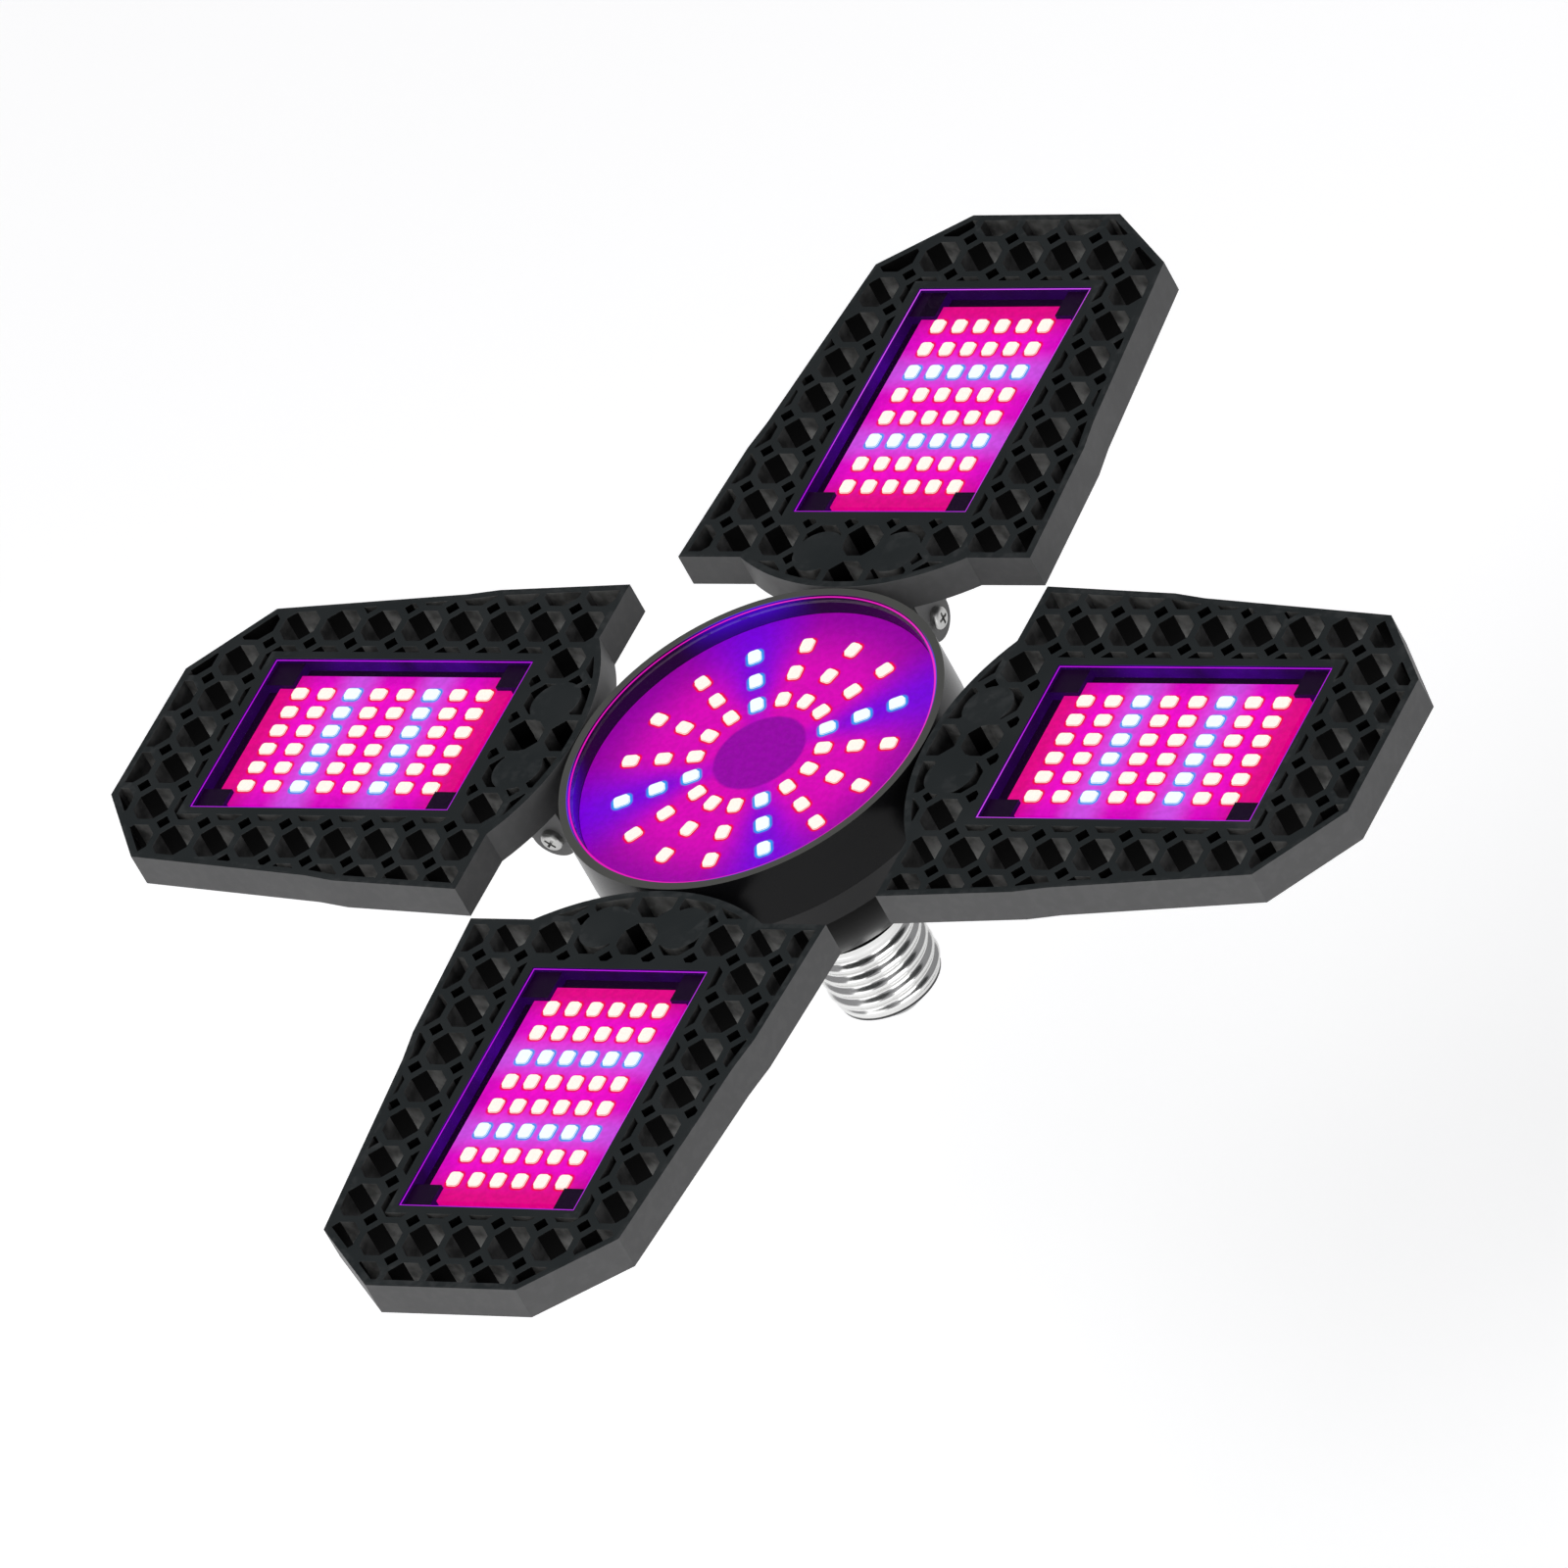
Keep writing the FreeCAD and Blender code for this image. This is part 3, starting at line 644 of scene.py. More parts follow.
@dataclass(frozen=True)
class GlossRing:
    """Hub ring: greyer on level faces and near black on its upright side, with a painted glow on the dish wall
    that stands in for the light of the round board.
    """

    rim: Colour = (0.085, 0.086, 0.080)
    side: Colour = (0.004, 0.004, 0.0045)
    # Colours of the painted glow on the dish wall.
    wall: Colour = (0.014, 0.0, 0.030)
    blue: Colour = (0.055, 0.0, 0.55)
    grain: float = 420.0
    roughness: tuple[float, float] = (0.24, 0.28)
    blue_angles: tuple[float, float] = (math.radians(4.0), math.radians(24.0))
    slack: float = 0.35 * MM
    low_light: float = 0.35

    def build(self, name: str, board: RoundBoard) -> Material:
        """Make the material.

        Args:
            name: Its name.
            board: The board in the dish.

        Returns:
            The material.
        """
        surface = Surface(name)
        grain = surface.grain(self.grain)
        level = surface.ramp(surface.normal()["Z"], *LEVEL)
        x, y, z = surface.turned(board.turn)
        angle = surface.math("ARCTAN2", y, x)
        beside = surface.math("ABSOLUTE", surface.wrapped(angle, math.tau / board.blue_rays))
        blue = surface.fade(beside, *self.blue_angles)
        dish_radius = board.cover_radius + self.slack
        inside = surface.times(surface.math("LESS_THAN", surface.length(x, y), dish_radius),
                               surface.math("GREATER_THAN", z, board.floor_height))
        up = surface.ramp(z, board.floor_height, board.face_height, self.low_light, 1.0)
        # Painted light: the dish wall glows violet, bluer along the blue rays and dimmer towards the board.
        light = surface.mix(surface.times(blue, up), self.wall, self.blue)
        return surface.finish(Base_Color=surface.mix(level, self.side, self.rim),
                              Emission_Color=surface.mix(inside, BLACK, light), Emission_Strength=1.0,
                              Roughness=surface.ramp(grain["Blotch"], *NOISE, *self.roughness),
                              Specular_IOR_Level=0.12)


@dataclass(frozen=True)
class Recess:
    """Walls and posts of a wing's window: painted shade in near black, with a painted violet glow that stands
    in for the boards' light, strongest beside the blue columns.
    """

    # Colours of the painted glow: dim everywhere, violet beside the blue columns.
    dark: Colour = (0.006, 0.0, 0.012)
    violet: Colour = (0.045, 0.0, 0.20)
    grain: float = 200.0
    reach: tuple[float, float] = (0.3, 2.1)
    everywhere: float = 0.25
    patches: tuple[float, float] = (0.6, 1.0)
    flat: tuple[float, float] = (0.5, 0.9)

    def build(self, name: str, wing: Wing, window: Window) -> Material:
        """Make the material.

        Args:
            name: Its name.
            wing: The wing.
            window: Its window.

        Returns:
            The material.
        """
        surface = Surface(name)
        grain = surface.grain(self.grain)
        blue = window.near_blue(surface, window.along(surface, wing)[0], *self.reach)
        # Painted light: some glow everywhere, more beside the blue columns.
        glow = surface.math("ADD", surface.times(blue, 1.0 - self.everywhere), self.everywhere)
        patchy = surface.ramp(grain["Height"], *NOISE, *self.patches)
        upright = surface.fade(surface.normal()["Z"], *self.flat)
        # The glow is painted light on upright walls; the near-black base is painted shade in the recess.
        return surface.finish(
            Emission_Color=surface.mix(surface.times(glow, patchy, upright), self.dark, self.violet),
            Emission_Strength=1.0, Base_Color=(0.003, 0.002, 0.004, 1.0), Roughness=0.5,
            Specular_IOR_Level=0.1)


@dataclass(frozen=True)
class Moulded:
    """Plain moulded or plated surface with a slight unevenness."""

    colour: Colour
    roughness: float
    metallic: float = 0.0
    spread: float = 0.05
    shine: float = 0.5
    grain: float = 300.0
    darkest: float = 0.82
    bump: float = 0.02
    bump_height: float = 0.2 * MM

    def build(self, name: str) -> Material:
        """Make the material.

        Args:
            name: Its name.

        Returns:
            The material.
        """
        surface = Surface(name)
        grain = surface.grain(self.grain)
        darker = scaled(self.colour, self.darkest)
        roughest = self.roughness + self.spread
        return surface.finish(
            Base_Color=surface.mix(surface.ramp(grain["Blotch"], *NOISE), darker, self.colour),
            Roughness=surface.ramp(grain["Blotch"], *NOISE, self.roughness, roughest),
            Metallic=self.metallic, Specular_IOR_Level=self.shine,
            Normal=surface.bump(grain["Height"], self.bump, self.bump_height))


@dataclass(frozen=True)
class Glow:
    """Evenly lit surface: an LED's core or rim."""

    colour: Colour
    strength: float = 1.0
    grain: float = 2000.0
    dimmest: float = 0.93
    unlit: float = 0.05

    def build(self, name: str) -> Material:
        """Make the material.

        Args:
            name: Its name.

        Returns:
            The material.
        """
        surface = Surface(name)
        grain = surface.grain(self.grain)
        dimmer = scaled(self.colour, self.dimmest)
        return surface.finish(
            Emission_Color=surface.mix(surface.ramp(grain["Height"], *NOISE), dimmer, self.colour),
            Emission_Strength=self.strength, Base_Color=(*scaled(self.colour, self.unlit), 1.0),
            Specular_IOR_Level=0.05, Roughness=0.35)


@dataclass(frozen=True)
class LitBoard:
    """What the boards share: they are lit by their own chips, a little unevenly."""

    dusk: Colour = (0.28, 0.0, 0.38)
    grain: float = 700.0
    unevenness: float = 0.12
    patches: tuple[float, float] = (0.35, 0.65)

    def shade(self, surface: Surface, colour: Socket) -> Material:
        """Send a colour to the shader as light, over a nearly black base.

        Args:
            surface: Graph of the material.
            colour: Colour of the light.

        Returns:
            The material.
        """
        grain = surface.grain(self.grain)
        dimming = surface.ramp(grain["Height"], *self.patches, self.unevenness, 0.0)
        return surface.finish(Emission_Color=surface.mix(dimming, colour, BLACK), Emission_Strength=1.0,
                              Base_Color=(0.008, 0.002, 0.008, 1.0), Specular_IOR_Level=0.05, Roughness=0.5)

    def round_chips(self, surface: Surface, colour: Socket, near: Socket, hot: Socket,
                    on_blue: Socket) -> Socket:
        """Lay the light round the chips over a board's colour.

        Args:
            surface: Graph of the material.
            colour: The board's colour.
            near: Mask of the rim of light.
            hot: Mask of the ground under the chips.
            on_blue: Mask of the blue chips.

        Returns:
            The colour with the chips' light.
        """
        rim = surface.mix(on_blue, Light.RED.rim, Light.BLUE.rim)
        core = surface.mix(on_blue, Light.RED.core, Light.BLUE.core)
        return surface.mix(hot, surface.mix(near, colour, rim), core)


@dataclass(frozen=True)
class WingBoard(LitBoard):
    """Board of a wing: blue columns glow violet, the two ends glow warmer and the sides are duskier."""

    body: Colour = (0.96, 0.0, 0.66)
    warm: Colour = (0.80, 0.0, 0.18)
    pale: Colour = (0.60, 0.13, 1.0)
    ends: tuple[float, float] = (0.28, 0.43)
    sides: tuple[float, float] = (0.30, 0.43)
    violet_reach: tuple[float, float] = (0.1, 1.1)
    column_reach: tuple[float, float] = (0.45, 0.55)
    warm_share: float = 0.85
    dusk_share: float = 0.3
    pale_share: float = 0.6
    rim_share: float = 0.9

    def build(self, name: str, wing: Wing, window: Window) -> Material:
        """Make the material.

        Args:
            name: Its name.
            wing: The wing.
            window: Its window.

        Returns:
            The material.
        """
        surface = Surface(name)
        along, across = window.along(surface, wing)
        far_along, far_across = (surface.math("ABSOLUTE", place) for place in (along, across))
        ends = surface.ramp(far_along, *(share * window.length for share in self.ends))
        colour = surface.mix(surface.times(ends, self.warm_share), self.body, self.warm)
        sides = surface.ramp(far_across, *(share * window.width for share in self.sides))
        colour = surface.mix(surface.times(sides, self.dusk_share), colour, self.dusk)
        blue = window.near_blue(surface, along, *self.violet_reach)
        colour = surface.mix(surface.times(blue, self.pale_share), colour, self.pale)
        halo = surface.group(HALO, Along=surface.wrapped(along, window.pitch_long, window.pitch_long / 2),
                             Across=surface.wrapped(across, window.pitch_wide, window.pitch_wide / 2))
        inside = surface.times(
            surface.math("LESS_THAN", far_along, window.columns / 2 * window.pitch_long),
            surface.math("LESS_THAN", far_across, window.rows / 2 * window.pitch_wide))
        near = surface.times(halo["Near"], inside, self.rim_share)
        on_blue = window.near_blue(surface, along, *self.column_reach)
        return self.shade(surface, self.round_chips(surface, colour, near, surface.times(halo["Hot"], inside),
                                                    on_blue))


@dataclass(frozen=True)
class HubBoard(LitBoard):
    """Round board: violet along the blue rays, magenta between, a plain disc in the middle."""

    body: Colour = (0.76, 0.0, 0.52)
    violet: Colour = (0.19, 0.0, 0.80)
    centre: Colour = (0.33, 0.0, 0.42)
    dusk_share: float = 0.9
    rim_share: float = 0.95
    ray_widths: tuple[float, float] = (5.0 * MM, 19.0 * MM)
    ray_strengths: tuple[float, float] = (0.35, 0.95)
    ray_chips: tuple[float, float] = (2.6 * MM, 2.9 * MM)
    disc_edge: float = 0.5 * MM

    def build(self, name: str, board: RoundBoard) -> Material:
        """Make the material.

        Args:
            name: Its name.
            board: The board.

        Returns:
            The material.
        """
        surface = Surface(name)
        place = surface.turned(board.turn)
        radius = surface.length(place["X"], place["Y"])
        angle = surface.math("ARCTAN2", place["Y"], place["X"])
        to_ray, to_blue = (surface.times(surface.wrapped(angle, math.tau / count), radius)
                           for count in (board.rays, board.blue_rays))
        to_blue = surface.math("ABSOLUTE", to_blue)
        inner, middle, outer = (surface.distance(radius, ring) for ring in board.rings)
        to_ring = surface.math("MINIMUM", surface.math("MINIMUM", inner, middle), outer)
        outward = surface.ramp(radius, board.rings[1], board.radius)
        colour = surface.mix(surface.times(outward, self.dusk_share), self.body, self.dusk)
        blue = surface.fade(to_blue, 0.0, surface.ramp(radius, board.disc, board.radius, *self.ray_widths))
        strength = surface.ramp(radius, board.disc, board.rings[1], *self.ray_strengths)
        colour = surface.mix(surface.times(blue, strength), colour, self.violet)
        halo = surface.group(HALO, Along=to_ring, Across=to_ray)
        colour = self.round_chips(surface, colour, surface.times(halo["Near"], self.rim_share), halo["Hot"],
                                  surface.fade(to_blue, *self.ray_chips))
        disc = surface.fade(radius, board.disc - self.disc_edge, board.disc + self.disc_edge)
        return self.shade(surface, surface.mix(disc, colour, self.centre))


@dataclass(frozen=True)
class ClearCover:
    """Thin clear pane whose upper edge has a painted glow that stands in for the light of the board under it.
    """

    # Colour of the painted glow along the pane's rim.
    edge: Colour = (0.48, 0.0, 0.80)
    bright_factor: float = 1.3
    bright_lift: float = 0.08
    edge_width: float = 0.42 * MM
    full_share: float = 0.6
    below_top: tuple[float, float] = (0.30 * MM, 0.10 * MM)
    grain: float = 160.0
    patches: tuple[float, float] = (0.48, 0.62)
    roughness: tuple[float, float] = (0.05, 0.10)
    veil: float = 0.03

    def build(self, name: str, inward: Callable[[Surface], Socket], top: float) -> Material:
        """Make the material.

        Args:
            name: Its name.
            inward: Gives the distance from the pane's edge.
            top: Height of the pane's upper face.

        Returns:
            The material.
        """
        surface = Surface(name)
        grain = surface.grain(self.grain)
        near = surface.fade(inward(surface), self.edge_width * self.full_share, self.edge_width)
        height = surface.split(surface.place)["Z"]
        # Painted light: the rim glows only close to the pane's upper face.
        lit = surface.times(near, surface.ramp(height, *(top - depth for depth in self.below_top)))
        patchy = surface.ramp(grain["Blotch"], *self.patches)
        edge = surface.mix(patchy, self.edge, scaled(self.edge, self.bright_factor, self.bright_lift))
        return surface.finish(Emission_Color=surface.mix(lit, BLACK, edge), Emission_Strength=1.0,
                              Alpha=surface.math("MAXIMUM", lit, self.veil),
                              Base_Color=(0.01, 0.01, 0.01, 1.0), Specular_IOR_Level=0.1,
                              Roughness=surface.ramp(grain["Blotch"], *NOISE, *self.roughness))


def make_finishes() -> dict[Finish, Material]:
    """Make the finishes that more than one piece can share.

    Returns:
        The material of each finish.
    """
    low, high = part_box("east_frame")
    recipes = {
        # The second colour of each coated finish is painted light on its upright sides.
        Finish.CASTING: CoatedMetal((0.010, 0.014, 0.015), (0.078, 0.078, 0.079), shine=0.2),
        Finish.CELLS: CellWall(low.z, high.z),
        Finish.BRACKET: CoatedMetal((0.06, 0.06, 0.06), (0.13, 0.13, 0.13)),
        Finish.HOUSING: Moulded((0.002, 0.002, 0.002), 0.26, shine=0.02),
        Finish.INSULATOR: Moulded((0.02, 0.02, 0.022), 0.22),
        Finish.CONTACT: Moulded((0.70, 0.62, 0.44), 0.30, metallic=1.0),
        Finish.NICKEL: Moulded((0.80, 0.80, 0.79), 0.14, metallic=1.0, spread=0.10),
        Finish.ZINC: Moulded((0.52, 0.52, 0.51), 0.34, metallic=1.0),
        Finish.DRIVER_BOARD: Moulded((0.03, 0.16, 0.06), 0.45),
        Finish.WINDING: Moulded((0.62, 0.46, 0.06), 0.55),
        Finish.SLEEVE: Moulded((0.03, 0.03, 0.05), 0.35),
    }
    for light in Light:
        core, rim = light.finishes
        recipes[core] = Glow(light.core, strength=1.12)
        recipes[rim] = Glow(light.rim)
    return {finish: recipe.build(finish.value) for finish, recipe in recipes.items()}


def dress(node: str, material: Material) -> None:
    """Give a CAD node one material and log it.

    Args:
        node: The node.
        material: Its material.
    """
    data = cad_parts[node].data
    data.materials.clear()
    data.materials.append(material)
    LOG.info("dressed %s with %s", node, material.name)


def linked(name: str, data: bpy.types.ID) -> bpy.types.Object:
    """Make an object in the scene.

    Args:
        name: Its name.
        data: Its mesh, lamp or camera.

    Returns:
        The object.
    """
    made = bpy.data.objects.new(name, data)
    bpy.context.scene.collection.objects.link(made)
    return made


def written(mesh: BMesh, name: str) -> bpy.types.Mesh:
    """Write a bmesh to a new mesh and free it.

    Args:
        mesh: The finished bmesh.
        name: Name of the mesh.

    Returns:
        The new mesh.
    """
    data = bpy.data.meshes.new(name)
    mesh.to_mesh(data)
    mesh.free()
    return data


def add_to(whole: BMesh, single: BMesh) -> None:
    """Move all of one bmesh into another.

    Args:
        whole: Bmesh that grows.
        single: Bmesh that is added to it and freed.
    """
    data = written(single, "single")
    whole.from_mesh(data)
    bpy.data.meshes.remove(data)


def keep(mesh: BMesh, name: str, materials: list[Material], body: str, node: str) -> bpy.types.Object:
    """Turn a bmesh into a piece that rides on a body and stands for a CAD node.

    Args:
        mesh: The finished bmesh, which is freed.
        name: Name of the piece.
        materials: Its materials in slot order.
        body: Body that it rides on.
        node: CAD node that it replaces.

    Returns:
        The new object.
    """
    piece = linked(name, written(mesh, name))
    for material in materials:
        piece.data.materials.append(material)
    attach(piece, body)
    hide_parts(node)
    LOG.info("made %s with %d faces", name, len(piece.data.polygons))
    return piece


def smooth_by_angle(mesh: BMesh, degrees: float) -> None:
    """Smooth all faces and keep the edges that are sharper than an angle.

    Args:
        mesh: Mesh to smooth.
        degrees: The angle.
    """
    limit = math.radians(degrees)
    for face in mesh.faces:
        face.smooth = True
    for edge in mesh.edges:
        edge.smooth = len(edge.link_faces) == 2 and edge.calc_face_angle(0.0) < limit


def merged_copy(node: str) -> BMesh:
    """Copy a CAD node's mesh and join its loose triangles.

    Args:
        node: The node.

    Returns:
        The copy.
    """
    mesh = bmesh.new()
    mesh.from_mesh(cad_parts[node].data)
    bmesh.ops.remove_doubles(mesh, verts=mesh.verts[:], dist=CAD_MERGE)
    return mesh


def solids_of(node: str) -> list[tuple[Vector, Vector]]:
    """Find the separate solids in a node that groups several.

    Args:
        node: The CAD node.

    Returns:
        The low and high corner of each solid's box.
    """
    work = merged_copy(node)
    found, seen = [], set()
    for vertex in work.verts:
        if vertex in seen:
            continue
        waiting, points = [vertex], []
        while waiting:
            item = waiting.pop()
            if item in seen:
                continue
            seen.add(item)
            points.append(item.co.copy())
            waiting += [edge.other_vert(item) for edge in item.link_edges]
        found.append(tuple(Vector([pick(point[axis] for point in points) for axis in range(3)])
                           for pick in (min, max)))
    work.free()
    return found


@dataclass
class Chips:
    """LED chips of one node, rebuilt with rounded corners, a crowned top and a rim of colour at the foot.

    Args:
        node: CAD node of the group.
        body: Body that it rides on.
        light: Colour of the chips.
        turn: Angle of the chips' long side in degrees, or None for chips that point outwards.
    """

    node: str
    body: str
    light: Light
    turn: float | None
    length: float = 3.5 * MM
    width: float = 2.8 * MM
    corner: float = 0.75 * MM
    corner_steps: int = 3
    crown: float = 0.16 * MM
    crown_steps: int = 2
    foot: float = 0.12 * MM

    def chip(self, middle: Vector, height: float, angle: float) -> BMesh:
        """One chip: a box with rounded corners and a crowned top.

        Args:
            middle: Middle of the chip.
            height: Its height.
            angle: Angle of its long side in radians.

        Returns:
            The chip in its place, its body in slot 0 and its foot in slot 1.
        """
        mesh = bmesh.new()
        bmesh.ops.create_cube(mesh, size=1.0, matrix=Matrix.Diagonal((self.length, self.width, height, 1.0)))
        corners = [edge for edge in mesh.edges
                   if abs((edge.verts[0].co - edge.verts[1].co).normalized().z) > LEVEL_FACE]
        bmesh.ops.bevel(mesh, geom=corners, offset=self.corner, segments=self.corner_steps, profile=0.5,
                        affect="EDGES", material=-1)
        top = next(face for face in mesh.faces if face.normal.z > LEVEL_FACE)
        bmesh.ops.bevel(mesh, geom=top.edges[:], offset=self.crown, segments=self.crown_steps, profile=0.5,
                        affect="EDGES", material=-1)
        foot = self.foot - height / 2
        bmesh.ops.bisect_plane(mesh, geom=mesh.verts[:] + mesh.edges[:] + mesh.faces[:], dist=FINE_MERGE,
                               plane_co=(0.0, 0.0, foot), plane_no=(0.0, 0.0, 1.0))
        for face in mesh.faces:
            face.material_index = 0 if face.calc_center_median().z > foot else 1
        place = Matrix.Translation(middle) @ Matrix.Rotation(angle, 4, "Z")
        bmesh.ops.transform(mesh, matrix=place, verts=mesh.verts[:])
        return mesh

    def build(self, finishes: dict[Finish, Material]) -> bpy.types.Object:
        """Build the whole group in the place of its CAD node.

        Args:
            finishes: The shared finishes.

        Returns:
            The piece.
        """
        whole = bmesh.new()
        for low, high in solids_of(self.node):
            middle = (low + high) / 2
            angle = math.atan2(middle.y, middle.x) if self.turn is None else math.radians(self.turn)
            add_to(whole, self.chip(middle, high.z - low.z, angle))
        return keep(whole, self.node + "_lit", [finishes[finish] for finish in self.light.finishes],
                    self.body, self.node)


@dataclass(frozen=True)
class PanScrew:
    """Shape of a pan-head screw with a cross recess, its head's underside at the origin and its top at +z."""

    head_radius: float = 2.6 * MM
    head_high: float = 1.8 * MM
    straight: float = 0.45
    dome_angles: tuple[float, ...] = (15.0, 30.0, 45.0, 60.0, 75.0)
    shank_radius: float = 1.5 * MM
    shank_length: float = 10.0 * MM
    point_share: float = 0.7
    point_length: float = 0.4 * MM
    slot_wide: float = 0.62 * MM
    slot_long: float = 2.9 * MM
    slot_deep: float = 0.85 * MM
    facets: int = 40

    def section(self) -> list[Vector]:
        """Half of the screw's section, from the middle of its point to the middle of its head.

        Returns:
            The points, in the plane of x and z.
        """
        spots = [(0.0, -self.shank_length), (self.shank_radius * self.point_share, -self.shank_length),
                 (self.shank_radius, self.point_length - self.shank_length), (self.shank_radius, 0.0),
                 (self.head_radius, 0.0), (self.head_radius, self.head_high * self.straight)]
        domed = 1.0 - self.straight
        for lean in map(math.radians, self.dome_angles):
            spots.append((self.head_radius * (self.straight + domed * math.cos(lean)),
                          self.head_high * (self.straight + domed * math.sin(lean))))
        spots.append((0.0, self.head_high))
        return [Vector((x, 0.0, z)) for x, z in spots]

    def cut_slot(self, screw: bpy.types.Object, turn: float) -> None:
        """Cut one slot of the cross into the head.

        Args:
            screw: The screw.
            turn: Angle of the slot in radians.
        """
        cutter = bmesh.new()
        size = Matrix.Diagonal((self.slot_long, self.slot_wide, self.slot_deep * 2, 1.0))
        bmesh.ops.create_cube(cutter, size=1.0, matrix=size)
        place = Matrix.Translation((0, 0, self.head_high)) @ Matrix.Rotation(turn, 4, "Z")
        bmesh.ops.transform(cutter, matrix=place, verts=cutter.verts[:])
        tool = linked("screw_slot", written(cutter, "screw_slot"))
        cut = screw.modifiers.new("slot", "BOOLEAN")
        cut.operation = "DIFFERENCE"
        cut.object = tool
        cut.solver = "EXACT"
        bpy.context.view_layer.update()
        shaped = screw.evaluated_get(bpy.context.evaluated_depsgraph_get())
        data = bpy.data.meshes.new_from_object(shaped)
        screw.modifiers.clear()
        screw.data = data
        bpy.data.objects.remove(tool)

    def build(self) -> bpy.types.Mesh:
        """Spin the section and cut the cross.

        Returns:
            The screw's mesh.
        """
        mesh = bmesh.new()
        verts = [mesh.verts.new(point) for point in self.section()]
        edges = [mesh.edges.new(pair) for pair in zip(verts, verts[1:])]
        bmesh.ops.spin(mesh, geom=verts + edges, cent=(0, 0, 0), axis=(0, 0, 1), angle=math.tau,
                       steps=self.facets, use_merge=True)
        bmesh.ops.remove_doubles(mesh, verts=mesh.verts[:], dist=FINE_MERGE)
        bmesh.ops.recalc_face_normals(mesh, faces=mesh.faces[:])
        screw = linked("screw_blank", written(mesh, "screw_blank"))
        for turn in (0.0, math.pi / 2):
            self.cut_slot(screw, turn)
        data = screw.data
        bpy.data.objects.remove(screw)
        return data


@dataclass
class PivotScrews:
    """The two screws that a wing turns on, heads outwards, each with its cross at an angle of its own."""

    wing: Wing
    shape: PanScrew
    cross_turn: float = 20.0
    cross_apart: float = 25.0
    sharp_angle: float = 35.0

    def build(self, screw: bpy.types.Mesh, material: Material) -> bpy.types.Object:
        """Place the two screws on the hinge.

        Args:
            screw: Mesh of one screw.
            material: Its finish.

        Returns:
            The piece.
        """
        node = self.wing.prefix + "_pivot_screws"
        low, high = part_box(node)
        middle = (low + high) / 2
        across = Matrix.Rotation(math.radians(self.wing.value), 4, "Z") @ Vector((0, 1, 0))
        reach = max(high.x - low.x, high.y - low.y) / 2 - self.shape.head_high
        whole = bmesh.new()
        for way in (1, -1):
            single = bmesh.new()
            single.from_mesh(screw)
            direction = across * way
            tilt = direction.to_track_quat("Z", "Y").to_matrix().to_4x4()
            spin = Matrix.Rotation(math.radians(self.cross_turn + self.cross_apart * way), 4, "Z")
            place = Matrix.Translation(middle + direction * reach) @ tilt @ spin
            bmesh.ops.transform(single, matrix=place, verts=single.verts[:])
            add_to(whole, single)
        smooth_by_angle(whole, self.sharp_angle)
        return keep(whole, node + "_pan", [material], "hub", node)


@dataclass
class ScrewShell:
    """Thin shell with a rolled round thread that runs as a true helix and fades out at both ends."""

    crest: float = 13.2 * MM
    root: float = 12.2 * MM
    pitch: float = 3.6 * MM
    fullness: float = 0.8
    wall: float = 0.4 * MM
    fade: float = 2.2 * MM
    collar: float = 2.6 * MM
    around: int = 96
    rings: int = 84
    sharp_angle: float = 60.0

    def tube(self, low: float, high: float) -> BMesh:
        """Plain tube on the thread's root.

        Args:
            low: Height of its lower end.
            high: Height of its upper end.

        Returns:
            The tube, divided into rings.
        """
        mesh = bmesh.new()
        bmesh.ops.create_circle(mesh, cap_ends=False, segments=self.around, radius=self.root,
                                matrix=Matrix.Translation((0, 0, low)))
        edges = mesh.edges[:]
        for _ in range(self.rings):
            grown = bmesh.ops.extrude_edge_only(mesh, edges=edges)["geom"]
            bmesh.ops.translate(mesh, vec=(0, 0, (high - low) / self.rings),
                                verts=[item for item in grown if isinstance(item, bmesh.types.BMVert)])
            edges = [item for item in grown if isinstance(item, bmesh.types.BMEdge)]
        return mesh

    def build(self, material: Material) -> bpy.types.Object:
        """Push a plain tube out into the thread and give the sheet its thickness.

        Args:
            material: Its finish.

        Returns:
            The piece.
        """
        low, high = (corner.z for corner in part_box("screw_shell"))
        mesh = self.tube(low, high)
        thread_top = high - self.collar
        for vertex in mesh.verts:
            height = vertex.co.z
            angle = math.atan2(vertex.co.y, vertex.co.x)
            wave = 0.5 - 0.5 * math.cos(math.tau * ((height - low) / self.pitch - angle / math.tau))
            rise = min(1.0, max(0.0, (height - low) / self.fade), max(0.0, (thread_top - height) / self.fade))
            radius = self.root + (self.crest - self.root) * wave ** self.fullness * rise
            vertex.co.x, vertex.co.y = radius * math.cos(angle), radius * math.sin(angle)
        bmesh.ops.recalc_face_normals(mesh, faces=mesh.faces[:])
        if mesh.faces[0].normal.dot(mesh.faces[0].calc_center_median() * Vector((1, 1, 0))) < 0:
            bmesh.ops.reverse_faces(mesh, faces=mesh.faces[:])
        smooth_by_angle(mesh, self.sharp_angle)
        shell = keep(mesh, "rolled_screw_shell", [material], "hub", "screw_shell")
        sheet = shell.modifiers.new("sheet", "SOLIDIFY")
        sheet.thickness = self.wall
        sheet.offset = -1.0
        return shell


